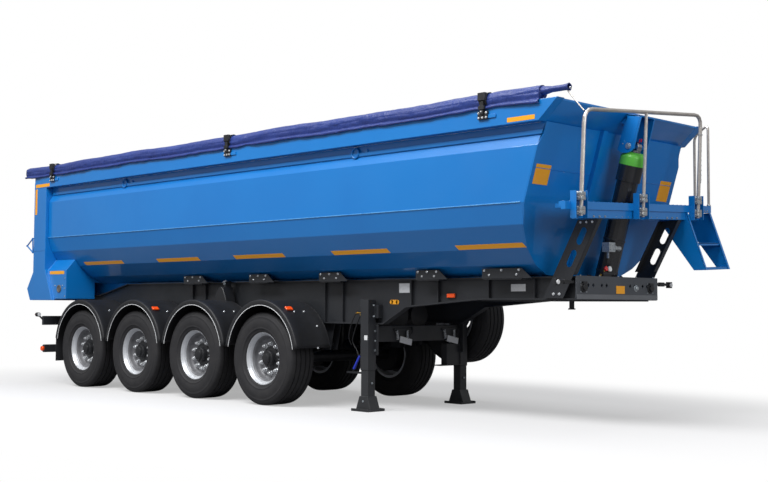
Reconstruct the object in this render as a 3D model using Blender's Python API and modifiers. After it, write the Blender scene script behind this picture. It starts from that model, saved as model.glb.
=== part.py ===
"""Four-axle grain semi-trailer with a half-round tipping bed, in metres, +X forwards and +Z up.

The floor is z = 0 and the trailer stands on its wheels and landing legs. Right is -Y.
"""

import math

import bmesh
import bpy
from mathutils import Matrix, Vector

# Clearances
SEAT_GAP = 0.0003
PIN_GAP = 0.003
BORE_GAP = 0.0009
OVERRUN = 0.05
WELD_DISTANCE = 0.000002

# Wheels and axles
AXLE_1_X = 0.505
AXLE_PITCH = 1.31
AXLE_COUNT = 4
LAST_AXLE_X = AXLE_1_X - AXLE_PITCH * (AXLE_COUNT - 1)
TYRE_RADIUS = 0.530
HUB_Z = TYRE_RADIUS
TYRE_WIDTH = 0.385
TYRE_BEAD_RADIUS = 0.286
TYRE_TREAD_WIDTH = 0.318
TYRE_BULGE_RADIUS = 0.425
TYRE_WALL = 0.030
WHEEL_CENTRE_Y = 1.013
RIM_FLANGE_RADIUS = 0.2985
RIM_WIDTH = 0.300
RIM_SHEET = 0.014
DISC_OUTER_Y = 1.035
DISC_RADIUS = 0.200
HUB_RADIUS = 0.085
HUB_LENGTH = 0.075
WHEEL_SEGMENTS = 20
BEAM_RADIUS = 0.064
BEAM_END_Y = 0.7997
DRUM_RADIUS = 0.205
DRUM_INNER_Y = 0.800
ARM_Y = 0.555
ARM_WIDTH = 0.080
ARM_DEPTH = 0.045
ARM_PIVOT_DX = 0.470
ARM_PIVOT_Z = 0.700
ARM_SEAT_DX = -0.390
ARM_SEAT_Z = 0.520
BELLOWS_RADIUS = 0.125
CHAMBER_RADIUS = 0.080
CHAMBER_LENGTH = 0.200
CHAMBER_Y = 0.330
AXLE_SIDES = 10

# Frame
WEB_OUTER_Y = 0.650
WEB_THICKNESS = 0.010
FLANGE_INNER_Y = 0.600
FLANGE_OUTER_Y = 0.690
FLANGE_THICKNESS = 0.014
FRAME_FRONT_X = 4.4920
FRAME_REAR_X = LAST_AXLE_X - 1.125
FRAME_TOP_Z = 1.420
TAIL_TOP_Z = 1.270
TAIL_TOP_START_X = LAST_AXLE_X - 0.385
TAIL_TOP_END_X = LAST_AXLE_X + 0.345
TAIL_BOTTOM_Z = 1.030
MAIN_BOTTOM_START_X = LAST_AXLE_X - 0.475
MAIN_BOTTOM_Z = 0.935
NECK_START_X = 1.955
NECK_END_X = 2.300
NECK_KNEE_Z = 1.120
NECK_LEVEL_X = 3.290
NECK_BOTTOM_Z = 1.200
RIB_THICKNESS = 0.010
RIB_PLACES_X = (-1.55, -1.27, 1.015, 1.31, 2.374, 2.758, 3.436, 4.007)
CROSSMEMBER_WIDTH = 0.080
SILL_BOTTOM_Z = 1.300
CROSSMEMBER_TOP_Z = SILL_BOTTOM_Z - SEAT_GAP
CROSSMEMBER_DEPTH = 0.110
CROSSMEMBER_PLACES_X = (-3.75, -2.75, -1.45, -0.15, 1.15, 2.15, 3.10)
HANGER_BOTTOM_Z = 0.630
HANGER_TOP_LENGTH = 0.260
HANGER_BOTTOM_LENGTH = 0.120
HANGER_PLATE = 0.012
GUIDE_SPANS_X = ((-1.57, -1.18), (-0.22, 0.13), (1.05, 1.40), (2.56, 2.88), (3.46, 3.95))
GUIDE_INNER_Y = 0.795
GUIDE_PLATE = 0.010
GUIDE_TOP_Z = 1.503
GUIDE_TAIL = 0.120
GUIDE_FOOT_DEPTH = 0.020
PIVOT_X = LAST_AXLE_X - 1.030
PIVOT_Z = 1.150
PIVOT_PIN_RADIUS = 0.035
PIVOT_BOSS_RADIUS = 0.075
PIVOT_EAR_THICKNESS = 0.025

# Front crossmember and coupling
CROSS_FRONT_X = 4.505
CROSS_HALF_WIDTH = 0.690
CROSS_TOP_Z = 1.425
CROSS_CHAMFER_Z = 1.250
CROSS_BOTTOM_Z = 1.200
CROSS_SHEET = 0.010
DIAMOND_SIZE = 0.042
DIAMOND_PLACES_Y = (-0.50, -0.42, -0.28, -0.20, 0.20, 0.28, 0.42, 0.50)
COUPLING_PLATE_THICKNESS = 0.010
COUPLING_PLATE_REAR_X = 3.300
COUPLING_PLATE_FRONT_X = 4.440
COUPLING_PLATE_HALF_WIDTH = 0.560
KINGPIN_X = 3.950
KINGPIN_RADIUS = 0.0254
KINGPIN_COLLAR_RADIUS = 0.036
KINGPIN_LENGTH = 0.084
KINGPIN_COLLAR = 0.013

# Landing gear
LEG_X = 1.800
LEG_TUBE = 0.120
LEG_CENTRE_Y = FLANGE_OUTER_Y + SEAT_GAP + LEG_TUBE / 2
LEG_TUBE_BOTTOM_Z = 0.440
LEG_TUBE_TOP_Z = 1.200
LEG_INNER = 0.108
FOOT_LENGTH = 0.270
FOOT_WIDTH = 0.250
FOOT_PAD = 0.018
FOOT_TOP_Z = 0.160
FOOT_TOP_LENGTH = 0.120
LEG_PLATE_LENGTH = 0.240
LEG_PLATE_BOTTOM_Z = 1.000
LEG_BEAM_BOTTOM_Z = 0.740
LEG_BEAM_TOP_Z = 0.915
LEG_BEAM_THICKNESS = 0.060
GEAR_BOX_WIDTH = 0.220
GEAR_BOX_DEPTH = 0.090
GEAR_BOX_BOTTOM_Z = 0.460
GEAR_BOX_TOP_Z = 0.700
GEAR_PLATE_WIDTH = 0.330
GEAR_PLATE_SHEET = 0.012

# Mudguards
GUARD_CENTRE_Z = 0.550
GUARD_SHIFT_X = 0.050
GUARD_RADIUS = 0.650
GUARD_LIP_RADIUS = 0.587
GUARD_SHEET = 0.006
GUARD_INNER_Y = 0.760
GUARD_OUTER_Y = 1.260
GUARD_LIP = 0.022
GUARD_END_Z = 0.665
GUARD_SEGMENTS = 10
GUARD_WEB_PLATE = 0.008
GUARD_WEB_DEPTH = 0.110
GUARD_BRACKET_LENGTH = 0.070
GUARD_BRACKET_DEPTH = 0.050
FLAP_BOTTOM_Z = 0.340

# Spare wheel and air tanks
SPARE_X = 1.560
SPARE_Z = 0.985
SPARE_CENTRE_Y = 1.0625
SPARE_ROOM = 0.020
CARRIER_TUBE = 0.060
CARRIER_HUB_RADIUS = 0.110
TANK_RADIUS = 0.140
TANK_LENGTH = 0.560
TANK_X = 1.420
TANK_Z = 1.030
TANK_HANGER_X = 1.210
TANK_STRAP = 0.040

# Bed section
WALL_Y = 1.200
RAIL_OUTER_Y = 1.250
RAIL_INNER_Y = 1.150
RAIL_TOP_Z = 3.000
RAIL_BOTTOM_Z = 2.810
NECK_WALL_Y = 1.150
NECK_WALL_Z = 2.700
CREASE_Z = 2.600
WALL_FOOT_Z = 2.090
HAUNCH_Y = 1.140
HAUNCH_Z = 1.890
BILGE_Y = 1.000
BILGE_Z = 1.680
TURN_Y = 0.815
TURN_Z = 1.530
FLOOR_HALF_Y = 0.600
FLOOR_Z = 1.4350
BED_SHEET = 0.008
BED_REAR_X = LAST_AXLE_X - 1.270
FRONT_WALL_TOP_X = 4.521
FRONT_WALL_REF_Z = 2.819
FRONT_WALL_SLOPE = 0.306
FRONT_WALL_SHEET = 0.010
FRONT_RIB_Y = 0.280
FRONT_RIB_WIDTH = 0.060
FRONT_RIB_DEPTH = 0.045
VISOR_FRONT_X = 4.735
VISOR_LIP = 0.020
VISOR_DEPTH = 0.050
VISOR_FOOT_Z = 2.860
SILL_Y = 0.520
SILL_WIDTH = 0.100
SILL_FRONT_X = 4.020
LEDGE_DEPTH = 0.018
LEDGE_BOTTOM_Z = 2.700
LEDGE_TOP_Z = 2.740

# Rear portal and tailgate
PORTAL_LENGTH = 0.330
PORTAL_BOTTOM_Z = 1.192
PORTAL_FLARE_START_Z = 1.640
PORTAL_FLARE = 0.206
WEDGE_FRONT_X = LAST_AXLE_X - 0.420
WEDGE_TOP_Z = 1.615
WEDGE_CREST_Z = 1.840
TAILGATE_SHEET = 0.060
TAILGATE_HALF_WIDTH = 1.220
TAILGATE_TOP_Z = 2.900
TAILGATE_KNEE_Z = 1.600
TAILGATE_BULGE_Z = 1.360
TAILGATE_BULGE = 0.170
TAILGATE_FOOT_BULGE = 0.080
TAILGATE_RIB_WIDTH = 0.070
TAILGATE_RIB_DEPTH = 0.030
TAILGATE_RIB_PLACES_Y = (-0.80, -0.27, 0.27, 0.80)
GATE_HINGE_Z = 2.945
GATE_HINGE_RADIUS = 0.014
GATE_HINGE_EAR = 0.014
GATE_HINGE_Y = 1.195
GATE_HINGE_BOSS = 0.032

# Tarp roll
TARP_Y = -1.200
TARP_RADIUS = 0.070
TARP_Z = RAIL_TOP_Z + TARP_RADIUS + SEAT_GAP
TARP_REAR_X = BED_REAR_X - 0.258
TARP_FRONT_X = 4.575
TARP_SHAFT_RADIUS = 0.014
TARP_SHAFT_FRONT_X = 4.825
TARP_FOLD_Y = -1.2820
TARP_FOLD_Z = 2.985
TARP_FOLD_RADIUS = 0.028

# Hoist
HOIST_FOOT_X = 4.340
HOIST_FOOT_Z = 1.370
HOIST_EYE_X = 4.705
HOIST_EYE_DROP = 0.330
HOIST_EYE_Z = RAIL_TOP_Z - HOIST_EYE_DROP
COVER_RADIUS = 0.120
BASE_RADIUS = 0.105
STAGE_RADII = (0.092, 0.079, 0.066, 0.053)
STAGE_WALL = 0.008
ROD_RADIUS = 0.040
COVER_TOP_DROP = 0.068
BASE_TOP_DROP = 0.190
BASE_FOOT_DROP = 0.130
HOIST_EYE_RADIUS = 0.055
HOIST_EYE_WIDTH = 0.070
HOIST_PIN_RADIUS = 0.024
HOIST_CHEEK_Y = 0.140
HOIST_CHEEK_PLATE = 0.016
BRACKET_SEAT_RISE = 0.310
BRACKET_NECK_RISE = 0.030
BRACKET_FOOT_DROP = 0.072
BRACKET_FRONT_REACH = 0.115
BRACKET_TOP_REACH = 0.110
TRUNNION_RADIUS = 0.030
CRADLE_Y = 0.200
CRADLE_PLATE = 0.025
CRADLE_BEAM_DEPTH = 0.150
CRADLE_BEAM_WIDTH = 0.110
HOIST_SIDES = 16

# Platform, rails and ladder
DECK_TOP_Z = 2.120
DECK_DEPTH = 0.070
DECK_SHEET = 0.040
DECK_HOIST_CLEARANCE = 0.121
DECK_FRONT_X = (
    HOIST_FOOT_X
    + (HOIST_EYE_X - HOIST_FOOT_X) * (DECK_TOP_Z - HOIST_FOOT_Z) / (HOIST_EYE_Z - HOIST_FOOT_Z)
    + BASE_RADIUS
    + DECK_HOIST_CLEARANCE
)
DECK_REAR_X = DECK_FRONT_X - 0.310
DECK_RIGHT_Y = -1.230
DECK_LEFT_Y = 1.284
DECK_END_Y = -0.960
DECK_END_DEPTH = 0.070
DECK_WELL_HALF_Y = 0.190
DECK_BEAM_DEPTH = 0.045
PLATFORM_RISE = 0.045
APRON_DEPTH = 0.145
APRON_SHEET = 0.010
APRON_SETBACK = 0.016
APRON_SHELF = 0.165
APRON_RIGHT_Y = -0.930
APRON_LEFT_Y = 0.850
APRON_CHAMFER = 0.045
STRUT_FOOT_X = 4.196
STRUT_FOOT_Z = 1.245
STRUT_TOP_X = DECK_FRONT_X - 0.115
STRUT_WIDTH = 0.190
STRUT_FLANGE = 0.088
STRUT_REAR_FLANGE = 0.135
STRUT_SHEET = 0.008
STRUT_SLOT_WIDTH = 0.070
STRUT_SLOT_LENGTH = 0.110
STRUT_SLOT_SHARES = (0.47, 0.75)
RAIL_POST_X = DECK_FRONT_X + 0.045
RAIL_POST_TOP_Z = 2.985
RAIL_TOP_RISE = 0.045
RAIL_POST_LEAN = 0.045
RAIL_MIDDLE_Y = -0.060
RAIL_POST_Y = 1.000
RAIL_TUBE_RADIUS = 0.019
RAIL_CORNER_RADIUS = 0.120
CHANNEL_WIDTH = 0.180
CHANNEL_SHEET = 0.008
CHANNEL_LIP = 0.060
CHANNEL_DROP = 0.150
CHANNEL_RISE = 0.095
CLAMP_WIDTH = 0.086
CLAMP_HEIGHT = 0.048
CLAMP_DEPTH = 0.020
HOOP_REAR_X = DECK_FRONT_X - 0.176
HOOP_FRONT_X = DECK_FRONT_X - 0.018
HOOP_Y = 1.2695
HOOP_REAR_Z = 2.860
HOOP_TOP_Z = 2.970
HOOP_CORNER_RADIUS = 0.060
LADDER_INNER_Y = 0.860
LADDER_OUTER_Y = 1.240
LADDER_SHEET = 0.008
LADDER_TOP_LENGTH = 0.240
LADDER_FOOT_X = 4.985
LADDER_FOOT_LENGTH = 0.130
LADDER_FOOT_Z = 1.423
LADDER_STEP_DEPTH = 0.030
LADDER_TREAD_INSET = 0.014
LADDER_TREAD_SHARES = (0.08, 0.50, 0.93)

# Rear bars
BUMPER_X = LAST_AXLE_X - 1.050
BUMPER_Z = 0.500
BUMPER_HEIGHT = 0.110
BUMPER_THICKNESS = 0.060
BUMPER_HALF_WIDTH = 1.180
BUMPER_ARM_WIDTH = 0.060
BUMPER_ARM_LENGTH = 0.090
LAMP_BAR_X = LAST_AXLE_X - 1.095
LAMP_BAR_Z = 0.900
LAMP_BAR_HEIGHT = 0.130
LAMP_BAR_THICKNESS = 0.045
LAMP_BAR_HALF_WIDTH = 1.180

COLOURS = {
    "blue": ((0.020, 0.150, 0.520, 1), 0.30, 0.0),
    "anthracite": ((0.025, 0.026, 0.030, 1), 0.45, 0.0),
    "rubber": ((0.020, 0.020, 0.022, 1), 0.85, 0.0),
    "silver": ((0.550, 0.560, 0.580, 1), 0.35, 0.9),
    "aluminium": ((0.700, 0.710, 0.720, 1), 0.30, 1.0),
    "tarp": ((0.040, 0.050, 0.420, 1), 0.50, 0.0),
    "steel": ((0.300, 0.300, 0.310, 1), 0.40, 0.8),
}


def clear_scene():
    for old in list(bpy.data.objects):
        bpy.data.objects.remove(old, do_unlink=True)


def make_collection(name, hidden):
    made = bpy.data.collections.new(name)
    bpy.context.scene.collection.children.link(made)
    made.hide_render = hidden
    return made


clear_scene()
PARTS = make_collection("grain_semi_trailer", False)
CUTTERS = make_collection("cutters", True)


def material_for(name, finish):
    colour, roughness, metallic = COLOURS[finish]
    made = bpy.data.materials.new(name)
    made.use_nodes = True
    shader = made.node_tree.nodes["Principled BSDF"]
    shader.inputs["Base Color"].default_value = colour
    shader.inputs["Roughness"].default_value = roughness
    shader.inputs["Metallic"].default_value = metallic
    return made


def from_bmesh(shape, name):
    mesh = bpy.data.meshes.new(name)
    shape.to_mesh(mesh)
    shape.free()
    return bpy.data.objects.new(name, mesh)


def box(low, high):
    """An upright box between two corners."""
    shape = bmesh.new()
    bmesh.ops.create_cube(shape, size=1)
    size = [b - a for a, b in zip(low, high)]
    middle = [(a + b) / 2 for a, b in zip(low, high)]
    bmesh.ops.scale(shape, vec=size, verts=shape.verts)
    bmesh.ops.translate(shape, vec=middle, verts=shape.verts)
    return from_bmesh(shape, "box")


def rod(start, end, radius, sides=12, end_radius=None):
    """A cylinder or cone between two points."""
    start = Vector(start)
    along = Vector(end) - start
    shape = bmesh.new()
    bmesh.ops.create_cone(
        shape,
        cap_ends=True,
        segments=sides,
        radius1=radius,
        radius2=radius if end_radius is None else end_radius,
        depth=along.length,
    )
    turn = along.to_track_quat("Z", "Y").to_matrix().to_4x4()
    place = Matrix.Translation(start + along / 2) @ turn
    bmesh.ops.transform(shape, matrix=place, verts=shape.verts)
    return from_bmesh(shape, "rod")


def meshed(curve_object):
    """The curve as a welded mesh object with its placement baked in."""
    bpy.context.scene.collection.objects.link(curve_object)
    bpy.context.view_layer.update()
    graph = bpy.context.evaluated_depsgraph_get()
    mesh = bpy.data.meshes.new_from_object(curve_object.evaluated_get(graph))
    shape = bmesh.new()
    shape.from_mesh(mesh)
    bmesh.ops.transform(shape, matrix=curve_object.matrix_world, verts=shape.verts)
    bmesh.ops.remove_doubles(shape, verts=shape.verts, dist=WELD_DISTANCE)
    bmesh.ops.recalc_face_normals(shape, faces=shape.faces)
    bpy.data.meshes.remove(mesh)
    bpy.data.objects.remove(curve_object, do_unlink=True)
    return from_bmesh(shape, "curve")


def prism(outline, across, low, high):
    """A flat outline given a thickness. Across X it holds (y, z) points, across Y (x, z), across Z (x, y)."""
    curve = bpy.data.curves.new("outline", "CURVE")
    curve.dimensions = "2D"
    curve.fill_mode = "BOTH"
    curve.extrude = (high - low) / 2
    spline = curve.splines.new("POLY")
    spline.points.add(len(outline) - 1)
    for point, (first, second) in zip(spline.points, outline):
        point.co = (first, second, 0, 1)
    spline.use_cyclic_u = True
    flat = bpy.data.objects.new("outline", curve)
    middle = (high + low) / 2
    columns = {
        "X": ((0, 1, 0), (0, 0, 1), (1, 0, 0), (middle, 0, 0)),
        "Y": ((1, 0, 0), (0, 0, 1), (0, -1, 0), (0, middle, 0)),
        "Z": ((1, 0, 0), (0, 1, 0), (0, 0, 1), (0, 0, middle)),
    }[across]
    rows = list(zip(*columns))
    flat.matrix_world = Matrix([*rows, (0, 0, 0, 1)])
    return meshed(flat)


def tube(points, radius, resolution=2, closed=False):
    """A round tube along straight and curved runs."""
    curve = bpy.data.curves.new("tube", "CURVE")
    curve.dimensions = "3D"
    curve.bevel_depth = radius
    curve.bevel_resolution = resolution
    curve.use_fill_caps = True
    spline = curve.splines.new("POLY")
    spline.points.add(len(points) - 1)
    for point, place in zip(spline.points, points):
        point.co = (*place, 1)
    spline.use_cyclic_u = closed
    return meshed(bpy.data.objects.new("tube", curve))


def turned(profile, segments, place):
    """A profile of (radius, height) points, top to bottom, turned round +Z and then placed."""
    mesh = bpy.data.meshes.new("turned")
    edges = [(i, i + 1) for i in range(len(profile) - 1)]
    mesh.from_pydata([(r, 0, h) for r, h in profile], edges, [])
    shape = bpy.data.objects.new("turned", mesh)
    screw = shape.modifiers.new("turn", "SCREW")
    screw.axis = "Z"
    screw.steps = segments
    screw.render_steps = segments
    screw.use_merge_vertices = True
    screw.merge_threshold = WELD_DISTANCE
    shape.matrix_world = place
    return meshed(shape)


def combine(target, others, operation, solver="EXACT"):
    """Joins or cuts the target by the others, which become hidden cutters."""
    for other in others:
        other.hide_render = True
        other.display_type = "WIRE"
        CUTTERS.objects.link(other)
        change = target.modifiers.new(operation.lower(), "BOOLEAN")
        change.operation = operation
        change.object = other
        change.solver = solver
    return target


def applied(target):
    """The target with its modifiers made into one plain mesh object."""
    bpy.context.scene.collection.objects.link(target)
    bpy.context.view_layer.update()
    graph = bpy.context.evaluated_depsgraph_get()
    mesh = bpy.data.meshes.new_from_object(target.evaluated_get(graph))
    made = bpy.data.objects.new(target.name, mesh)
    bpy.context.scene.collection.objects.unlink(target)
    return made


def joined(pieces, solver="EXACT"):
    return combine(pieces[0], pieces[1:], "UNION", solver)


def node(name, shape, finish, cuts=(), origin=(0, 0, 0), angle=30):
    """Names a shape as a part of the object, with its own material and its origin at a given point."""
    combine(shape, cuts, "DIFFERENCE")
    made = applied(shape)
    made.name = name
    made.data.name = name
    made.data.transform(Matrix.Translation(-Vector(origin)))
    made.location = origin
    made.data.materials.clear()
    made.data.materials.append(material_for(name, finish))
    made.data.shade_smooth()
    made.data.set_sharp_from_angle(angle=math.radians(angle))
    PARTS.objects.link(made)
    return made


def arc(centre, radius, start, end, count):
    """Points on a circle from one angle to another, in degrees."""
    places = []
    for step in range(count + 1):
        angle = math.radians(start + (end - start) * step / count)
        places.append((centre[0] + radius * math.cos(angle), centre[1] + radius * math.sin(angle)))
    return places


def front_wall_x(z):
    """The outer face of the leaning front wall at a height."""
    return FRONT_WALL_TOP_X - FRONT_WALL_SLOPE * (FRONT_WALL_REF_Z - z)


def axle_x(number):
    return AXLE_1_X - AXLE_PITCH * number


def rail_top():
    return [
        (FRAME_FRONT_X, FRAME_TOP_Z),
        (TAIL_TOP_END_X, FRAME_TOP_Z),
        (TAIL_TOP_START_X, TAIL_TOP_Z),
        (FRAME_REAR_X, TAIL_TOP_Z),
    ]


def rail_bottom():
    return [
        (FRAME_REAR_X, TAIL_BOTTOM_Z),
        (MAIN_BOTTOM_START_X, MAIN_BOTTOM_Z),
        (NECK_START_X, MAIN_BOTTOM_Z),
        (NECK_END_X, NECK_KNEE_Z),
        (NECK_LEVEL_X, NECK_BOTTOM_Z),
        (FRAME_FRONT_X, NECK_BOTTOM_Z),
    ]


def rail_bottom_z(x):
    """The rails' underside at a place along them."""
    line = rail_bottom()
    for (start_x, start_z), (end_x, end_z) in zip(line, line[1:]):
        if x <= end_x:
            return start_z + (end_z - start_z) * (x - start_x) / (end_x - start_x)
    return NECK_BOTTOM_Z


def flange(line, rise):
    return [*line, *[(x, z + rise) for x, z in reversed(line)]]


def frame_rail(side):
    """One I-section rail with its ribs, hangers and bed guides, on the side with this sign."""

    def across(low, high):
        return sorted((side * low, side * high))

    web = prism(rail_top() + rail_bottom(), "Y", *across(WEB_OUTER_Y - WEB_THICKNESS, WEB_OUTER_Y))
    pieces = [web]
    flange_y = across(FLANGE_INNER_Y, FLANGE_OUTER_Y)
    pieces.append(prism(flange(rail_top(), -FLANGE_THICKNESS), "Y", *flange_y))
    pieces.append(prism(flange(rail_bottom(), FLANGE_THICKNESS), "Y", *flange_y))
    rib_y = across(WEB_OUTER_Y - WEB_THICKNESS / 2, FLANGE_OUTER_Y - FLANGE_THICKNESS / 2)
    for x in RIB_PLACES_X:
        low = (x - RIB_THICKNESS / 2, rib_y[0], rail_bottom_z(x) + FLANGE_THICKNESS / 2)
        high = (x + RIB_THICKNESS / 2, rib_y[1], FRAME_TOP_Z - FLANGE_THICKNESS / 2)
        pieces.append(box(low, high))
    for number in range(AXLE_COUNT):
        pieces.extend(hanger(axle_x(number) + ARM_PIVOT_DX, side))
    for start, end in GUIDE_SPANS_X:
        pieces.extend(bed_guide(start, end, side))
    return pieces


def hanger(x, side):
    """Two cheek plates and a front plate that carry a trailing arm's pivot."""
    top = MAIN_BOTTOM_Z + FLANGE_THICKNESS / 2
    outline = [
        (x - HANGER_TOP_LENGTH / 2, top),
        (x - HANGER_BOTTOM_LENGTH / 2, HANGER_BOTTOM_Z),
        (x + HANGER_BOTTOM_LENGTH / 2, HANGER_BOTTOM_Z),
        (x + HANGER_TOP_LENGTH / 2, top),
    ]
    pieces = []
    cheek = ARM_WIDTH / 2 + PIN_GAP
    for start in (ARM_Y - cheek - HANGER_PLATE, ARM_Y + cheek):
        low, high = sorted((side * start, side * (start + HANGER_PLATE)))
        pieces.append(prism(outline, "Y", low, high))
    roof = [ARM_Y - cheek - HANGER_PLATE, FLANGE_INNER_Y + HANGER_PLATE]
    low, high = sorted((side * roof[0], side * roof[1]))
    pieces.append(
        box(
            (x - HANGER_TOP_LENGTH / 2, low, MAIN_BOTTOM_Z - HANGER_PLATE / 2),
            (x + HANGER_TOP_LENGTH / 2, high, MAIN_BOTTOM_Z + FLANGE_THICKNESS * 3 / 4),
        )
    )
    return pieces


def bed_guide(start, end, side):
    """An upright guide plate with a sloped tail, on a foot welded to the rail's top flange."""
    foot_z = FRAME_TOP_Z - FLANGE_THICKNESS
    outline = [
        (start, foot_z),
        (end + GUIDE_TAIL, foot_z),
        (end, GUIDE_TOP_Z),
        (start, GUIDE_TOP_Z),
    ]
    low, high = sorted((side * GUIDE_INNER_Y, side * (GUIDE_INNER_Y + GUIDE_PLATE)))
    foot_low, foot_high = sorted(
        (side * (FLANGE_OUTER_Y - GUIDE_PLATE), side * (GUIDE_INNER_Y + GUIDE_PLATE / 2))
    )
    foot = box(
        (start + GUIDE_PLATE, foot_low, foot_z - GUIDE_FOOT_DEPTH / 2),
        (end, foot_high, foot_z + GUIDE_FOOT_DEPTH / 4),
    )
    return [prism(outline, "Y", low, high), foot]


def crossmembers():
    pieces = []
    reach = WEB_OUTER_Y - WEB_THICKNESS / 2
    for x in CROSSMEMBER_PLACES_X:
        top = CROSSMEMBER_TOP_Z
        low_x = x - CROSSMEMBER_WIDTH / 2
        if x < TAIL_TOP_END_X:
            top = TAIL_TOP_Z - FLANGE_THICKNESS * 2
        pieces.append(
            box(
                (low_x, -reach, top - CROSSMEMBER_DEPTH),
                (low_x + CROSSMEMBER_WIDTH, reach, top),
            )
        )
    return pieces


def tail_tube():
    """The square tube that ties the rails ahead of the bed's pivot."""
    reach = WEB_OUTER_Y - WEB_THICKNESS / 2
    tube_z = (TAIL_TOP_Z + TAIL_BOTTOM_Z) / 2
    tube_x = FRAME_REAR_X + CROSSMEMBER_WIDTH * 3 / 2 + PIVOT_BOSS_RADIUS * 2
    low = (tube_x, -reach, tube_z - CROSSMEMBER_DEPTH / 2)
    return box(low, (tube_x + CROSSMEMBER_WIDTH, reach, tube_z + CROSSMEMBER_DEPTH / 2))


def build_frame():
    pieces = frame_rail(1) + frame_rail(-1) + crossmembers() + [tail_tube()]
    cuts = []
    reach = FLANGE_OUTER_Y + OVERRUN
    cuts.append(rod((PIVOT_X, -reach, PIVOT_Z), (PIVOT_X, reach, PIVOT_Z), PIVOT_PIN_RADIUS + BORE_GAP, 16))
    return node("frame", joined(pieces), "anthracite", cuts)


def build_front_crossmember():
    """A bent front plate with diamond holes, its top folded back over the rails' ends."""
    rear = FRAME_FRONT_X + SEAT_GAP
    outline = [
        (rear, CROSS_TOP_Z),
        (rear, CROSS_BOTTOM_Z),
        (rear + CROSS_SHEET / 2, CROSS_BOTTOM_Z),
        (CROSS_FRONT_X, CROSS_CHAMFER_Z),
        (CROSS_FRONT_X, CROSS_TOP_Z),
    ]
    plate = prism(outline, "Y", -CROSS_HALF_WIDTH, CROSS_HALF_WIDTH)
    middle = (CROSS_TOP_Z + CROSS_CHAMFER_Z) / 2
    half = DIAMOND_SIZE / 2
    cuts = []
    for y in DIAMOND_PLACES_Y:
        diamond = [(y - half, middle), (y, middle - half), (y + half, middle), (y, middle + half)]
        cuts.append(prism(diamond, "X", rear - OVERRUN, CROSS_FRONT_X + OVERRUN))
    return node("front_crossmember", plate, "anthracite", cuts)


def build_coupling_plate():
    """The rubbing plate under the neck with its kingpin."""
    top = NECK_BOTTOM_Z - SEAT_GAP
    bottom = top - COUPLING_PLATE_THICKNESS
    width = COUPLING_PLATE_HALF_WIDTH + (FLANGE_OUTER_Y - COUPLING_PLATE_HALF_WIDTH) / 2
    plate = box(
        (COUPLING_PLATE_REAR_X, -width, bottom), (COUPLING_PLATE_FRONT_X, width, top)
    )
    foot = bottom - KINGPIN_LENGTH
    pin = rod((KINGPIN_X, 0, foot), (KINGPIN_X, 0, bottom + COUPLING_PLATE_THICKNESS / 2), KINGPIN_RADIUS, 20)
    collar = rod((KINGPIN_X, 0, foot), (KINGPIN_X, 0, foot + KINGPIN_COLLAR), KINGPIN_COLLAR_RADIUS, 20)
    return node("coupling_plate", joined([plate, pin, collar]), "steel")


def build_landing_leg(name, side):
    y = side * LEG_CENTRE_Y
    half = LEG_TUBE / 2
    inner = LEG_INNER / 2
    outer_tube = box((LEG_X - half, y - half, LEG_TUBE_BOTTOM_Z), (LEG_X + half, y + half, LEG_TUBE_TOP_Z))
    inner_tube = box(
        (LEG_X - inner, y - inner, FOOT_TOP_Z / 2), (LEG_X + inner, y + inner, LEG_TUBE_BOTTOM_Z + half)
    )
    pad = box(
        (LEG_X - FOOT_LENGTH / 2, y - FOOT_WIDTH / 2, 0),
        (LEG_X + FOOT_LENGTH / 2, y + FOOT_WIDTH / 2, FOOT_PAD),
    )
    gusset = prism(
        [
            (LEG_X - FOOT_LENGTH / 2 + FOOT_PAD, FOOT_PAD / 2),
            (LEG_X + FOOT_LENGTH / 2 - FOOT_PAD, FOOT_PAD / 2),
            (LEG_X + FOOT_TOP_LENGTH / 2, FOOT_TOP_Z),
            (LEG_X - FOOT_TOP_LENGTH / 2, FOOT_TOP_Z),
        ],
        "Y",
        y - inner - FOOT_PAD,
        y + inner + FOOT_PAD,
    )
    low, high = sorted((side * (WEB_OUTER_Y + SEAT_GAP), side * (FLANGE_OUTER_Y + LEG_TUBE / 4)))
    bracket = box(
        (LEG_X - LEG_PLATE_LENGTH / 2, low, LEG_PLATE_BOTTOM_Z),
        (LEG_X + LEG_PLATE_LENGTH / 2, high, LEG_TUBE_TOP_Z - LEG_INNER / 2),
    )
    pieces = [outer_tube, inner_tube, pad, gusset, bracket]
    if side > 0:
        pieces.extend(gear_box(y - half))
    return node(name, joined(pieces), "anthracite")


def gear_box(face_y):
    """The winding gear on the inner face of one leg, on its bracket plate."""
    half = GEAR_BOX_DEPTH / 2
    inside = face_y + LEG_TUBE - LEG_INNER
    plate_low = GEAR_BOX_BOTTOM_Z - GEAR_PLATE_SHEET
    return [
        box(
            (LEG_X - half, face_y - GEAR_BOX_WIDTH, GEAR_BOX_BOTTOM_Z - GEAR_PLATE_SHEET / 2),
            (LEG_X + half, inside, GEAR_BOX_TOP_Z),
        ),
        box(
            (LEG_X - half - GEAR_PLATE_SHEET, face_y - GEAR_PLATE_WIDTH, plate_low),
            (LEG_X + half + GEAR_PLATE_SHEET, inside, GEAR_BOX_BOTTOM_Z),
        ),
    ]


def build_landing_crossbeam():
    reach = LEG_CENTRE_Y - LEG_TUBE / 2 - SEAT_GAP
    half = LEG_BEAM_THICKNESS / 2
    beam = box((LEG_X - half, -reach, LEG_BEAM_BOTTOM_Z), (LEG_X + half, reach, LEG_BEAM_TOP_Z))
    return node("landing_crossbeam", beam, "anthracite")


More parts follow.
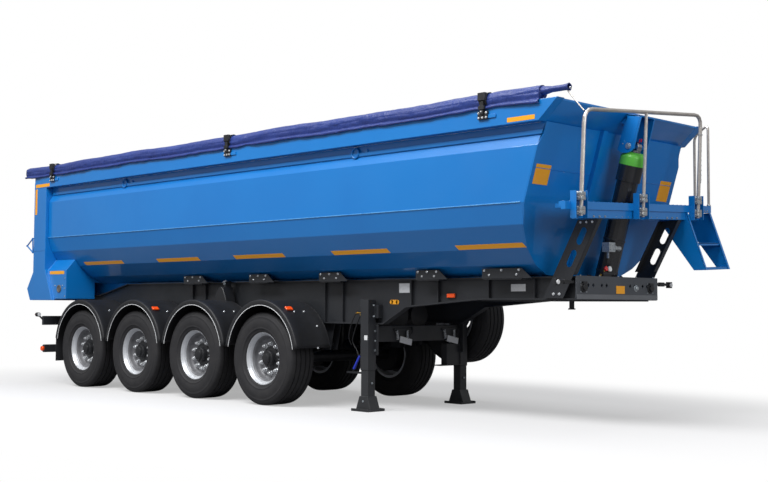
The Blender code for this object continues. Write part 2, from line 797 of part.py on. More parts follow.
def guard_arc(x, outer, inner):
    """The outline of one mudguard's band, from its rear end over the top to its front end."""
    drop = math.degrees(math.asin((GUARD_END_Z - GUARD_CENTRE_Z) / GUARD_RADIUS))
    centre = (x + GUARD_SHIFT_X, GUARD_CENTRE_Z)
    band = arc(centre, outer, drop, 180 - drop, GUARD_SEGMENTS)
    return band + arc(centre, inner, 180 - drop, drop, GUARD_SEGMENTS)


def build_mudguards(name, side):
    """Four arched guards on an inner web plate, with a bracket to the rail at each, and a rear flap."""

    def across(low, high):
        return sorted((side * low, side * high))

    pieces = []
    inner_radius = GUARD_RADIUS - GUARD_SHEET
    web_y = across(GUARD_INNER_Y - GUARD_WEB_PLATE, GUARD_INNER_Y + GUARD_WEB_PLATE / 2)
    for number in range(AXLE_COUNT):
        x = axle_x(number)
        band = guard_arc(x, GUARD_RADIUS, inner_radius)
        pieces.append(prism(band, "Y", *across(GUARD_INNER_Y, GUARD_OUTER_Y)))
        lip = guard_arc(x, GUARD_RADIUS - GUARD_SHEET / 2, GUARD_LIP_RADIUS)
        pieces.append(prism(lip, "Y", *across(GUARD_OUTER_Y - GUARD_SHEET, GUARD_OUTER_Y - GUARD_SHEET / 8)))
        web = guard_arc(x, GUARD_RADIUS - GUARD_SHEET / 2, GUARD_RADIUS - GUARD_WEB_DEPTH)
        pieces.append(prism(web, "Y", *web_y))
        top = GUARD_CENTRE_Z + GUARD_RADIUS - GUARD_WEB_DEPTH * 3 / 4
        bracket_y = across(WEB_OUTER_Y + SEAT_GAP, GUARD_INNER_Y - GUARD_WEB_PLATE / 2)
        low = (x + GUARD_SHIFT_X - GUARD_BRACKET_LENGTH / 2, bracket_y[0], top)
        high = (x + GUARD_SHIFT_X + GUARD_BRACKET_LENGTH / 2, bracket_y[1], top + GUARD_BRACKET_DEPTH)
        pieces.append(box(low, high))
    for number in range(AXLE_COUNT - 1):
        middle = axle_x(number) - AXLE_PITCH / 2 + GUARD_SHIFT_X
        half = AXLE_PITCH / 2 - GUARD_RADIUS + GUARD_WEB_DEPTH / 2
        low = (middle - half, web_y[0], GUARD_END_Z + GUARD_WEB_PLATE)
        pieces.append(box(low, (middle + half, web_y[1], GUARD_END_Z + GUARD_WEB_DEPTH * 2)))
    half_span = math.sqrt(GUARD_RADIUS**2 - (GUARD_END_Z - GUARD_CENTRE_Z) ** 2)
    rear = LAST_AXLE_X + GUARD_SHIFT_X - half_span
    flap_y = across(GUARD_INNER_Y + GUARD_SHEET, GUARD_OUTER_Y - GUARD_SHEET * 2)
    flap_low = (rear - GUARD_SHEET / 2, flap_y[0], FLAP_BOTTOM_Z)
    pieces.append(box(flap_low, (rear + GUARD_SHEET, flap_y[1], GUARD_END_Z + GUARD_LIP)))
    guard = joined(pieces, "MANIFOLD")
    if side > 0:
        room_y = SPARE_CENTRE_Y - TYRE_WIDTH / 2 - SPARE_ROOM
        centre = (SPARE_X, GUARD_OUTER_Y + OVERRUN, SPARE_Z)
        room = rod((SPARE_X, room_y, SPARE_Z), centre, TYRE_RADIUS + SPARE_ROOM, 24)
        guard = combine(guard, [room], "DIFFERENCE", "MANIFOLD")
    return node(name, guard, "anthracite")


def build_axle(number):
    """A round beam with trailing arms, brake chambers and air springs."""
    x = axle_x(number)
    pieces = [rod((x, -BEAM_END_Y, HUB_Z), (x, BEAM_END_Y, HUB_Z), BEAM_RADIUS, AXLE_SIDES)]
    spring_top = MAIN_BOTTOM_Z - SEAT_GAP
    for side in (1, -1):
        low, high = sorted((side * (ARM_Y - ARM_WIDTH / 2), side * (ARM_Y + ARM_WIDTH / 2)))
        half = ARM_DEPTH / 2
        arm = [
            (x + ARM_PIVOT_DX + half, ARM_PIVOT_Z + half),
            (x + ARM_PIVOT_DX + half, ARM_PIVOT_Z - half),
            (x + BEAM_RADIUS * 2, HUB_Z + BEAM_RADIUS - half),
            (x - BEAM_RADIUS * 2, HUB_Z + BEAM_RADIUS - half),
            (x + ARM_SEAT_DX - BELLOWS_RADIUS, ARM_SEAT_Z),
            (x + ARM_SEAT_DX - BELLOWS_RADIUS, ARM_SEAT_Z + half),
            (x + ARM_SEAT_DX + BELLOWS_RADIUS, ARM_SEAT_Z + ARM_DEPTH),
            (x - BEAM_RADIUS * 2, HUB_Z + BEAM_RADIUS + half),
            (x + BEAM_RADIUS * 2, HUB_Z + BEAM_RADIUS + half),
        ]
        pieces.append(prism(arm, "Y", low, high))
        foot = (x + ARM_SEAT_DX, side * ARM_Y, ARM_SEAT_Z + half)
        waist = BELLOWS_RADIUS * 3 / 4
        pieces.append(rod(foot, (*foot[:2], spring_top), BELLOWS_RADIUS, AXLE_SIDES, waist))
        chamber_y = side * CHAMBER_Y
        start = (x - BEAM_RADIUS / 2, chamber_y, HUB_Z + BEAM_RADIUS * 3 / 4)
        end = (x - CHAMBER_LENGTH, chamber_y, HUB_Z + BEAM_RADIUS * 2)
        pieces.append(rod(start, end, CHAMBER_RADIUS, AXLE_SIDES))
    return node(f"axle_{number + 1}", joined(pieces, "MANIFOLD"), "anthracite")


def tyre_profile():
    """Outer side of a wide single tyre, closed through its inner wall, as (radius, offset) points."""
    half = TYRE_WIDTH / 2
    tread = TYRE_TREAD_WIDTH / 2
    bead = RIM_WIDTH / 2 - RIM_SHEET
    crown = (TYRE_RADIUS, tread)
    bulge = (TYRE_BULGE_RADIUS, half)
    foot = (TYRE_BEAD_RADIUS + TYRE_WALL / 2, bead)
    outer = [foot, bulge, crown]
    lower = [(r, -h) for r, h in reversed(outer)]
    inner = [(TYRE_BEAD_RADIUS, -bead), (TYRE_BEAD_RADIUS, bead)]
    return outer + lower + [inner[0], inner[1], foot]


def wheel_place(x, y, z, side):
    """A placement whose +Z points away from the trailer's middle."""
    turn = Matrix.Rotation(math.radians(-90 * side), 4, "X")
    return Matrix.Translation((x, y, z)) @ turn


def rim_profile(with_drum):
    """A deep dished rim with its disc, hub and brake drum, as (radius, offset) points."""
    half = RIM_WIDTH / 2
    disc = DISC_OUTER_Y - WHEEL_CENTRE_Y
    seat = TYRE_BEAD_RADIUS - SEAT_GAP
    edge = half - RIM_SHEET + SEAT_GAP
    inner = DRUM_INNER_Y - WHEEL_CENTRE_Y
    back = [(DRUM_RADIUS, disc - RIM_SHEET), (0, disc - RIM_SHEET)]
    if with_drum:
        back = [(DRUM_RADIUS, disc - RIM_SHEET), (DRUM_RADIUS, inner), (0, inner)]
    return [
        (0, disc + HUB_LENGTH),
        (HUB_RADIUS, disc + HUB_LENGTH),
        (HUB_RADIUS, disc),
        (DISC_RADIUS, disc),
        (seat - RIM_SHEET, edge),
        (RIM_FLANGE_RADIUS, half),
        (seat, edge),
        (seat, -edge),
        (RIM_FLANGE_RADIUS, -half),
        (seat - RIM_SHEET, -half),
        *back,
    ]


def build_tyre(name, x, y, z, side):
    shape = turned(tyre_profile(), WHEEL_SEGMENTS, wheel_place(x, y, z, side))
    return node(name, shape, "rubber", origin=(x, y, z))


def build_rim(name, x, y, z, side, with_drum):
    shape = turned(rim_profile(with_drum), WHEEL_SEGMENTS, wheel_place(x, y, z, side))
    return node(name, shape, "silver", origin=(x, y, z))


def build_spare():
    build_tyre("spare_tyre", SPARE_X, SPARE_CENTRE_Y, SPARE_Z, 1)
    build_rim("spare_rim", SPARE_X, SPARE_CENTRE_Y, SPARE_Z, 1, False)
    inner = SPARE_CENTRE_Y + DISC_OUTER_Y - WHEEL_CENTRE_Y - RIM_SHEET - SEAT_GAP
    start = WEB_OUTER_Y + SEAT_GAP
    post = rod((SPARE_X, start, SPARE_Z), (SPARE_X, inner, SPARE_Z), CARRIER_TUBE / 2, 14)
    plate = rod((SPARE_X, inner - RIM_SHEET, SPARE_Z), (SPARE_X, inner, SPARE_Z), CARRIER_HUB_RADIUS, 16)
    foot = box(
        (SPARE_X - CARRIER_TUBE, start, SPARE_Z - CARRIER_TUBE / 2),
        (SPARE_X + CARRIER_TUBE, start + HANGER_PLATE, SPARE_Z + CARRIER_TUBE * 2),
    )
    return node("spare_carrier", joined([post, plate, foot]), "anthracite")


def build_air_tanks():
    """Two tanks side by side behind the legs, hung from a crossmember."""
    pieces = []
    top = CROSSMEMBER_TOP_Z - CROSSMEMBER_DEPTH - SEAT_GAP
    for side in (1, -1):
        y = side * (TANK_RADIUS + TANK_STRAP / 2)
        start = (TANK_X - TANK_LENGTH / 2, y, TANK_Z)
        pieces.append(rod(start, (TANK_X + TANK_LENGTH / 2, y, TANK_Z), TANK_RADIUS, 16))
    saddle = box(
        (TANK_X - TANK_LENGTH / 2 + TANK_STRAP, -TANK_RADIUS - TANK_STRAP, TANK_Z),
        (TANK_X + TANK_LENGTH / 2 - TANK_STRAP, TANK_RADIUS + TANK_STRAP, TANK_Z + TANK_RADIUS / 2),
    )
    pieces.append(saddle)
    hanger = box(
        (TANK_HANGER_X - TANK_STRAP, -TANK_RADIUS, TANK_Z + TANK_STRAP),
        (TANK_HANGER_X, TANK_RADIUS, top),
    )
    return node("air_tanks", joined([*pieces, hanger]), "anthracite")


def section_half(inset):
    """Half of the bed's section, from the middle of its floor up to the wall's top, moved inwards."""
    return [
        (0, FLOOR_Z + inset),
        (FLOOR_HALF_Y - inset / 4, FLOOR_Z + inset),
        (TURN_Y - inset / 2, TURN_Z + inset * 7 / 8),
        (BILGE_Y - inset * 3 / 4, BILGE_Z + inset * 3 / 4),
        (HAUNCH_Y - inset * 7 / 8, HAUNCH_Z + inset / 2),
        (WALL_Y - inset, WALL_FOOT_Z + inset / 8),
        (WALL_Y - inset, CREASE_Z - inset / 4),
        (NECK_WALL_Y - inset, NECK_WALL_Z - inset / 4),
        (NECK_WALL_Y - inset, RAIL_BOTTOM_Z - SEAT_GAP),
    ]


def full_section(inset):
    half = section_half(inset)[1:]
    return half + [(-y, z) for y, z in reversed(half)]


def u_section():
    """The trough's sheet as one closed outline."""
    outer = section_half(0)[1:]
    inner = section_half(BED_SHEET)[1:]
    left = outer + list(reversed(inner))
    right = inner + list(reversed(outer))
    return [*left, *[(-y, z) for y, z in right]]


def build_trough():
    far = FRONT_WALL_TOP_X + OVERRUN
    shell = prism(u_section(), "X", BED_REAR_X, far)
    low = FLOOR_Z - OVERRUN
    high = RAIL_TOP_Z
    back = FRONT_WALL_SHEET + SEAT_GAP
    nose = prism(
        [
            (front_wall_x(low) - back, low),
            (far + OVERRUN, low),
            (far + OVERRUN, high),
            (front_wall_x(high) - back, high),
        ],
        "Y",
        -WALL_Y - OVERRUN,
        WALL_Y + OVERRUN,
    )
    ledges = []
    for side in (1, -1):
        y_low, y_high = sorted((side * (NECK_WALL_Y - BED_SHEET / 2), side * (NECK_WALL_Y + LEDGE_DEPTH)))
        ledges.append(
            box(
                (BED_REAR_X + PORTAL_LENGTH + OVERRUN, y_low, LEDGE_BOTTOM_Z),
                (far, y_high, LEDGE_TOP_Z),
            )
        )
    return node("trough", joined([shell, *ledges]), "blue", [nose])


def wall_slab(outline, depth, rise=0):
    """The outline, given in (y, z), as a plate that lies in the leaning front wall."""
    block = prism(outline, "X", front_wall_x(FLOOR_Z) - OVERRUN * 4, FRONT_WALL_TOP_X + OVERRUN * 4)
    low = FLOOR_Z - OVERRUN
    high = RAIL_TOP_Z + OVERRUN
    slab = prism(
        [
            (front_wall_x(low) + rise, low),
            (front_wall_x(high) + rise, high),
            (front_wall_x(high) + rise - depth, high),
            (front_wall_x(low) + rise - depth, low),
        ],
        "Y",
        -RAIL_OUTER_Y - OVERRUN,
        RAIL_OUTER_Y + OVERRUN,
    )
    combine(block, [slab], "INTERSECT")
    return applied(block)


def build_front_wall():
    section = full_section(0)
    wall = wall_slab(section, FRONT_WALL_SHEET)
    pieces = [wall]
    for side in (1, -1):
        low, high = sorted(
            (side * (FRONT_RIB_Y - FRONT_RIB_WIDTH / 2), side * (FRONT_RIB_Y + FRONT_RIB_WIDTH / 2))
        )
        rib = [(low, FLOOR_Z), (high, FLOOR_Z), (high, VISOR_FOOT_Z - OVERRUN), (low, VISOR_FOOT_Z - OVERRUN)]
        pieces.append(wall_slab(rib, FRONT_RIB_DEPTH + FRONT_WALL_SHEET / 2, FRONT_RIB_DEPTH))
    return node("front_wall", joined(pieces), "blue")


def rail_front_cut():
    """What lies ahead of the slanted front ends of the top rails."""
    low = RAIL_BOTTOM_Z - OVERRUN
    high = RAIL_TOP_Z + OVERRUN
    slope = (VISOR_FRONT_X - FRONT_WALL_TOP_X) / (RAIL_TOP_Z - RAIL_BOTTOM_Z)
    foot = FRONT_WALL_TOP_X - FRONT_WALL_SHEET * 2
    return foot + slope * (low - RAIL_BOTTOM_Z), foot + slope * (high - RAIL_BOTTOM_Z), low, high


def build_side_rail(name, side):
    y_low, y_high = sorted((side * RAIL_INNER_Y - side * BED_SHEET, side * RAIL_OUTER_Y))
    x_low, x_high, z_low, z_high = rail_front_cut()
    rail = box((BED_REAR_X, y_low, RAIL_BOTTOM_Z), (VISOR_FRONT_X + OVERRUN, y_high, RAIL_TOP_Z))
    far = VISOR_FRONT_X + OVERRUN * 3
    nose = [(x_low, z_low), (far, z_low), (far, z_high), (x_high, z_high)]
    cuts = [prism(nose, "Y", y_low - OVERRUN, y_high + OVERRUN)]
    hinge_x = BED_REAR_X - TAILGATE_SHEET / 2
    lug = [
        (BED_REAR_X + GATE_HINGE_BOSS, GATE_HINGE_Z - GATE_HINGE_BOSS),
        (hinge_x - GATE_HINGE_BOSS / 2, GATE_HINGE_Z - GATE_HINGE_BOSS),
        (hinge_x - GATE_HINGE_BOSS, GATE_HINGE_Z - GATE_HINGE_BOSS / 2),
        (hinge_x - GATE_HINGE_BOSS, GATE_HINGE_Z + GATE_HINGE_BOSS / 2),
        (hinge_x - GATE_HINGE_BOSS / 2, GATE_HINGE_Z + GATE_HINGE_BOSS),
        (BED_REAR_X + GATE_HINGE_BOSS, GATE_HINGE_Z + GATE_HINGE_BOSS),
    ]
    lug_y = sorted((side * GATE_HINGE_Y, side * (GATE_HINGE_Y + GATE_HINGE_EAR)))
    bore_y = sorted((side * (GATE_HINGE_Y - OVERRUN), side * (GATE_HINGE_Y + OVERRUN)))
    start = (hinge_x, bore_y[0], GATE_HINGE_Z)
    cuts.append(rod(start, (hinge_x, bore_y[1], GATE_HINGE_Z), GATE_HINGE_RADIUS + BORE_GAP, 12))
    return node(name, joined([rail, prism(lug, "Y", *lug_y)]), "blue", cuts)


def visor_face_x(z):
    """The front face of the flared visor at a height."""
    x_low, x_high, z_low, z_high = rail_front_cut()
    return x_low + (x_high - x_low) * (z - z_low) / (z_high - z_low)


def build_visor():
    """The flared front top rail between the side rails."""
    reach = RAIL_INNER_Y - BED_SHEET - SEAT_GAP
    foot = RAIL_BOTTOM_Z + SEAT_GAP
    lip = RAIL_TOP_Z - VISOR_LIP
    rear = visor_face_x(foot) - VISOR_DEPTH
    outline = [
        (rear, foot),
        (visor_face_x(foot), foot),
        (visor_face_x(lip), lip),
        (visor_face_x(lip), RAIL_TOP_Z),
        (rear, RAIL_TOP_Z),
    ]
    return node("visor", prism(outline, "Y", -reach, reach), "blue")


def build_rear_portal():
    """Side posts with flared feet and sloping side boxes, joined under the trough by a sill."""
    front = BED_REAR_X + PORTAL_LENGTH
    pieces = []
    posts = [
        (BED_REAR_X, PORTAL_BOTTOM_Z),
        (front + PORTAL_FLARE, PORTAL_BOTTOM_Z),
        (front, PORTAL_FLARE_START_Z),
        (front, RAIL_BOTTOM_Z - SEAT_GAP),
        (BED_REAR_X, RAIL_BOTTOM_Z - SEAT_GAP),
    ]
    pieces.append(prism(posts, "Y", -RAIL_OUTER_Y, RAIL_OUTER_Y))
    wedge = [
        (BED_REAR_X + OVERRUN, PORTAL_BOTTOM_Z + LEDGE_DEPTH),
        (WEDGE_FRONT_X, PORTAL_BOTTOM_Z + LEDGE_DEPTH),
        (WEDGE_FRONT_X, WEDGE_TOP_Z),
        (BED_REAR_X + OVERRUN, WEDGE_TOP_Z),
    ]
    pieces.append(prism(wedge, "Y", -WALL_Y, WALL_Y))
    for side in (1, -1):
        slope = [
            (side * WALL_Y, WEDGE_TOP_Z - OVERRUN / 2),
            (side * WALL_Y, WEDGE_TOP_Z),
            (side * BILGE_Y, WEDGE_CREST_Z),
            (side * TURN_Y, WEDGE_CREST_Z),
            (side * TURN_Y, WEDGE_TOP_Z - OVERRUN / 2),
        ]
        pieces.append(prism(slope, "X", front - OVERRUN, WEDGE_FRONT_X))
    cuts = []
    gap = -SEAT_GAP
    half = section_half(gap)[1:]
    half[-1] = (half[-1][0], RAIL_BOTTOM_Z + OVERRUN)
    hollow = half + [(-y, z) for y, z in reversed(half)]
    cuts.append(prism(hollow, "X", BED_REAR_X - OVERRUN, WEDGE_FRONT_X + OVERRUN))
    clear_y = FLANGE_OUTER_Y + OVERRUN
    under = FLOOR_Z + BED_SHEET
    cuts.append(
        box(
            (BED_REAR_X + OVERRUN * 2, -clear_y, PORTAL_BOTTOM_Z - OVERRUN),
            (WEDGE_FRONT_X + OVERRUN, clear_y, under),
        )
    )
    return node("rear_portal", joined(pieces), "blue", cuts)


def build_sills():
    """Two long sills under the floor, with the pivot pins at their rear ends and ties between them."""
    pieces = []
    top = FLOOR_Z - SEAT_GAP
    rear = BED_REAR_X + OVERRUN * 2 + SEAT_GAP
    for side in (1, -1):
        low, high = sorted((side * (SILL_Y - SILL_WIDTH / 2), side * (SILL_Y + SILL_WIDTH / 2)))
        pieces.append(box((rear, low, SILL_BOTTOM_Z), (SILL_FRONT_X, high, top)))
        inner, outer = SILL_Y - PIVOT_EAR_THICKNESS, SILL_Y + PIVOT_EAR_THICKNESS
        ear_low, ear_high = sorted((side * inner, side * outer))
        ear = [
            (PIVOT_X - PIVOT_BOSS_RADIUS, PIVOT_Z - PIVOT_BOSS_RADIUS),
            (PIVOT_X + PIVOT_BOSS_RADIUS, PIVOT_Z - PIVOT_BOSS_RADIUS),
            (PIVOT_X + PIVOT_BOSS_RADIUS * 3, SILL_BOTTOM_Z + SILL_WIDTH / 4),
            (PIVOT_X - PIVOT_BOSS_RADIUS, SILL_BOTTOM_Z + SILL_WIDTH / 4),
        ]
        pieces.append(prism(ear, "Y", ear_low, ear_high))
        end = side * (WEB_OUTER_Y + WEB_THICKNESS)
        pieces.append(rod((PIVOT_X, side * SILL_Y, PIVOT_Z), (PIVOT_X, end, PIVOT_Z), PIVOT_PIN_RADIUS, 16))
    reach = SILL_Y
    for x in (SILL_FRONT_X - SILL_WIDTH, rear + SILL_WIDTH):
        pieces.append(
            box(
                (x, -reach, SILL_BOTTOM_Z + SILL_WIDTH / 4),
                (x + SILL_WIDTH / 2, reach, top - SILL_WIDTH / 4),
            )
        )
    return node("bed_sills", joined(pieces), "anthracite", origin=(PIVOT_X, 0, PIVOT_Z))


def build_hoist_bracket():
    """Two long cheeks from the visor down to the cylinder's eye, each with a short pin, on a back plate."""
    pieces = []
    top = HOIST_EYE_Z + BRACKET_SEAT_RISE
    shoulder = HOIST_EYE_Z + BRACKET_NECK_RISE
    foot = HOIST_EYE_Z - BRACKET_FOOT_DROP
    front = HOIST_EYE_X + BRACKET_FRONT_REACH
    seat = RAIL_BOTTOM_Z - SEAT_GAP
    knee = front_wall_x(seat) + SEAT_GAP
    outline = [
        (visor_face_x(top) + SEAT_GAP * 2, top),
        (visor_face_x(seat) + SEAT_GAP * 2, seat),
        (max(knee, visor_face_x(seat) + SEAT_GAP * 2), seat),
        (front_wall_x(shoulder) + SEAT_GAP, shoulder),
        (HOIST_EYE_X - BRACKET_FRONT_REACH * 2 / 3, foot),
        (HOIST_EYE_X - HOIST_EYE_RADIUS / 2, foot - HOIST_CHEEK_PLATE),
        (HOIST_EYE_X + HOIST_EYE_RADIUS, foot),
        (front - HOIST_CHEEK_PLATE * 2, HOIST_EYE_Z - BRACKET_NECK_RISE),
        (front, HOIST_EYE_Z + BRACKET_NECK_RISE * 2),
        (HOIST_EYE_X + BRACKET_TOP_REACH, top - BRACKET_NECK_RISE * 3 / 2),
        (HOIST_EYE_X + BRACKET_TOP_REACH / 2, top),
    ]
    outer = HOIST_CHEEK_Y + HOIST_CHEEK_PLATE
    for side in (1, -1):
        low, high = sorted((side * HOIST_CHEEK_Y, side * outer))
        pieces.append(prism(outline, "Y", low, high))
        stub = (HOIST_EYE_X, side * (HOIST_EYE_WIDTH / 2 + PIN_GAP * 2), HOIST_EYE_Z)
        end = (HOIST_EYE_X, side * (outer + HOIST_CHEEK_PLATE), HOIST_EYE_Z)
        pieces.append(rod(stub, end, HOIST_PIN_RADIUS, 14))
    pad = HOIST_CHEEK_PLATE
    plate_low = shoulder + pad / 2
    plate_high = seat - pad / 2
    back = [
        (front_wall_x(plate_low) + SEAT_GAP * 2, plate_low),
        (front_wall_x(plate_low) + pad, plate_low),
        (front_wall_x(plate_high) + pad, plate_high),
        (front_wall_x(plate_high) + SEAT_GAP * 2, plate_high),
    ]
    pieces.append(prism(back, "Y", -outer + pad / 2, outer - pad / 2))
    return node("hoist_bracket", joined(pieces), "blue")


def build_tarp_roll():
    """The rolled cover on the right rail, with its shaft and a hanging fold."""
    roll = rod((TARP_REAR_X, TARP_Y, TARP_Z), (TARP_FRONT_X, TARP_Y, TARP_Z), TARP_RADIUS, 16)
    shaft_start = (TARP_FRONT_X - OVERRUN, TARP_Y, TARP_Z)
    shaft = rod(shaft_start, (TARP_SHAFT_FRONT_X, TARP_Y, TARP_Z), TARP_SHAFT_RADIUS, 12)
    fold_start = (TARP_REAR_X, TARP_FOLD_Y, TARP_FOLD_Z)
    fold = rod(fold_start, (TARP_FRONT_X, TARP_FOLD_Y, TARP_FOLD_Z), TARP_FOLD_RADIUS, 10)
    lean = TARP_FOLD_RADIUS / 2
    hang = [
        (TARP_FOLD_Y - lean, TARP_FOLD_Z),
        (TARP_FOLD_Y + lean, TARP_FOLD_Z),
        (TARP_Y - TARP_RADIUS / 2, TARP_Z),
        (TARP_Y - TARP_RADIUS * 7 / 8, TARP_Z),
    ]
    sheet = prism(hang, "X", TARP_REAR_X + OVERRUN, TARP_FRONT_X - OVERRUN)
    return node("tarp_roll", joined([roll, shaft, fold, sheet]), "tarp")


def build_tailgate():
    """A ribbed gate with a bulged lower edge, hung from two ears at its top."""
    front = BED_REAR_X - SEAT_GAP
    rear = front - TAILGATE_SHEET
    outline = [
        (front, TAILGATE_TOP_Z),
        (front, TAILGATE_KNEE_Z),
        (front, PORTAL_BOTTOM_Z),
        (rear - TAILGATE_FOOT_BULGE, PORTAL_BOTTOM_Z),
        (rear - TAILGATE_BULGE, TAILGATE_BULGE_Z),
        (rear, TAILGATE_KNEE_Z),
        (rear, TAILGATE_TOP_Z),
    ]
    pieces = [prism(outline, "Y", -TAILGATE_HALF_WIDTH, TAILGATE_HALF_WIDTH)]
    for y in TAILGATE_RIB_PLACES_Y:
        half = TAILGATE_RIB_WIDTH / 2
        pieces.append(
            box(
                (rear - TAILGATE_RIB_DEPTH, y - half, TAILGATE_KNEE_Z - OVERRUN / 2),
                (rear + TAILGATE_RIB_DEPTH, y + half, TAILGATE_TOP_Z - OVERRUN),
            )
        )
    hinge_x = BED_REAR_X - TAILGATE_SHEET / 2
    for side in (1, -1):
        inner = GATE_HINGE_Y - PIN_GAP - GATE_HINGE_EAR
        low, high = sorted((side * inner, side * (inner + GATE_HINGE_EAR)))
        half = TAILGATE_SHEET / 2 - SEAT_GAP
        ear = [
            (hinge_x - half, TAILGATE_TOP_Z - OVERRUN / 2),
            (hinge_x + half, TAILGATE_TOP_Z - OVERRUN / 2),
            (hinge_x + half, GATE_HINGE_Z),
            (hinge_x, GATE_HINGE_Z + half),
            (hinge_x - half, GATE_HINGE_Z),
        ]
        pieces.append(prism(ear, "Y", low, high))
        start = (hinge_x, side * (inner + GATE_HINGE_EAR / 2), GATE_HINGE_Z)
        end = (hinge_x, side * (GATE_HINGE_Y + GATE_HINGE_EAR * 3 / 2), GATE_HINGE_Z)
        pieces.append(rod(start, end, GATE_HINGE_RADIUS, 12))
    return node("tailgate", joined(pieces), "blue", origin=(hinge_x, 0, GATE_HINGE_Z))


def hoist_direction():
    along = Vector((HOIST_EYE_X - HOIST_FOOT_X, 0, HOIST_EYE_Z - HOIST_FOOT_Z))
    return along.length, along.normalized()


def hoist_place(height):
    """A point on the cylinder's axis, this far up from its foot pivot."""
    _, along = hoist_direction()
    return Vector((HOIST_FOOT_X, 0, HOIST_FOOT_Z)) + along * height


def build_hoist():
    length, _ = hoist_direction()
    base_top = length - BASE_TOP_DROP
    low = -BASE_FOOT_DROP
    foot = rod(hoist_place(low), hoist_place(base_top), BASE_RADIUS, HOIST_SIDES)
    reach = CRADLE_Y + CRADLE_PLATE
    pins = rod((HOIST_FOOT_X, -reach, HOIST_FOOT_Z), (HOIST_FOOT_X, reach, HOIST_FOOT_Z), TRUNNION_RADIUS, 16)
    floor = low + STAGE_WALL * 3
    bore = rod(hoist_place(floor), hoist_place(base_top + OVERRUN), STAGE_RADII[0] + BORE_GAP, HOIST_SIDES)
    node("hoist_base", joined([foot, pins]), "anthracite", [bore], origin=hoist_place(0))
    for number, radius in enumerate(STAGE_RADII):
        stage_low = floor + PIN_GAP + number * (STAGE_WALL + PIN_GAP)
        stage_high = base_top - number * PIN_GAP
        inner = (list(STAGE_RADII) + [ROD_RADIUS])[number + 1] + BORE_GAP
        shape = rod(hoist_place(stage_low), hoist_place(stage_high), radius, HOIST_SIDES)
        hollow_low = hoist_place(stage_low + STAGE_WALL)
        hollow = rod(hollow_low, hoist_place(stage_high + OVERRUN), inner, HOIST_SIDES)
        node(f"hoist_stage_{number + 1}", shape, "steel", [hollow], origin=hoist_place(stage_low))
    build_hoist_cover(floor + PIN_GAP + len(STAGE_RADII) * (STAGE_WALL + PIN_GAP), length)


def build_hoist_cover(rod_low, length):
    """The innermost rod with the outer cover and the top eye, which travel together."""
    cap_high = length - COVER_TOP_DROP
    cover_low = length * 3 / 4
    cap = rod(hoist_place(cover_low), hoist_place(cap_high), COVER_RADIUS, HOIST_SIDES)
    room = length - BASE_TOP_DROP + PIN_GAP * 3
    hollow = rod(hoist_place(cover_low - OVERRUN), hoist_place(room), BASE_RADIUS + PIN_GAP * 2, HOIST_SIDES)
    skirt = combine(cap, [hollow], "DIFFERENCE")
    skirt = applied(skirt)
    stem = rod(hoist_place(rod_low), hoist_place(room + STAGE_WALL), ROD_RADIUS, HOIST_SIDES)
    neck_low = hoist_place(room + STAGE_WALL / 2)
    neck = rod(neck_low, hoist_place(length - HOIST_EYE_RADIUS / 2), ROD_RADIUS, HOIST_SIDES)
    half = HOIST_EYE_WIDTH / 2
    eye = rod(
        (HOIST_EYE_X, -half, HOIST_EYE_Z), (HOIST_EYE_X, half, HOIST_EYE_Z), HOIST_EYE_RADIUS, HOIST_SIDES
    )
    hole = rod(
        (HOIST_EYE_X, -half - OVERRUN, HOIST_EYE_Z),
        (HOIST_EYE_X, half + OVERRUN, HOIST_EYE_Z),
        HOIST_PIN_RADIUS + PIN_GAP,
        14,
    )
    cover = joined([skirt, stem, neck, eye])
    return node("hoist_cover", cover, "anthracite", [hole], origin=hoist_place(rod_low))


def build_hoist_cradle():
    """A beam between the rails with two bored plates that hold the cylinder's trunnion."""
    reach = WEB_OUTER_Y - WEB_THICKNESS - SEAT_GAP
    half = CRADLE_BEAM_WIDTH / 2
    rear_x = HOIST_FOOT_X - BASE_RADIUS - CRADLE_BEAM_WIDTH - PIVOT_BOSS_RADIUS
    low_z = NECK_BOTTOM_Z + FLANGE_THICKNESS + SEAT_GAP
    beam = box((rear_x, -reach, low_z), (rear_x + CRADLE_BEAM_WIDTH, reach, low_z + CRADLE_BEAM_DEPTH / 2))
    pieces = [beam]
    for side in (1, -1):
        low, high = sorted((side * CRADLE_Y, side * (CRADLE_Y + CRADLE_PLATE)))
        outline = [
            (rear_x + half, low_z),
            (HOIST_FOOT_X + PIVOT_BOSS_RADIUS, low_z),
            (HOIST_FOOT_X + PIVOT_BOSS_RADIUS, HOIST_FOOT_Z + PIVOT_BOSS_RADIUS / 2),
            (HOIST_FOOT_X - PIVOT_BOSS_RADIUS / 2, HOIST_FOOT_Z + PIVOT_BOSS_RADIUS),
            (rear_x + half, low_z + CRADLE_BEAM_DEPTH / 2),
        ]
        pieces.append(prism(outline, "Y", low, high))
    reach_y = CRADLE_Y + CRADLE_PLATE + OVERRUN
    bore_end = (HOIST_FOOT_X, reach_y, HOIST_FOOT_Z)
    bore = rod((HOIST_FOOT_X, -reach_y, HOIST_FOOT_Z), bore_end, TRUNNION_RADIUS + BORE_GAP, 16)
    return node("hoist_cradle", joined(pieces), "anthracite", [bore])


def tilted(shape):
    """A part of the platform drawn level, risen towards the left as in the photograph."""
    made = applied(shape)
    for vertex in made.data.vertices:
        vertex.co.z += vertex.co.y * PLATFORM_RISE
    return made


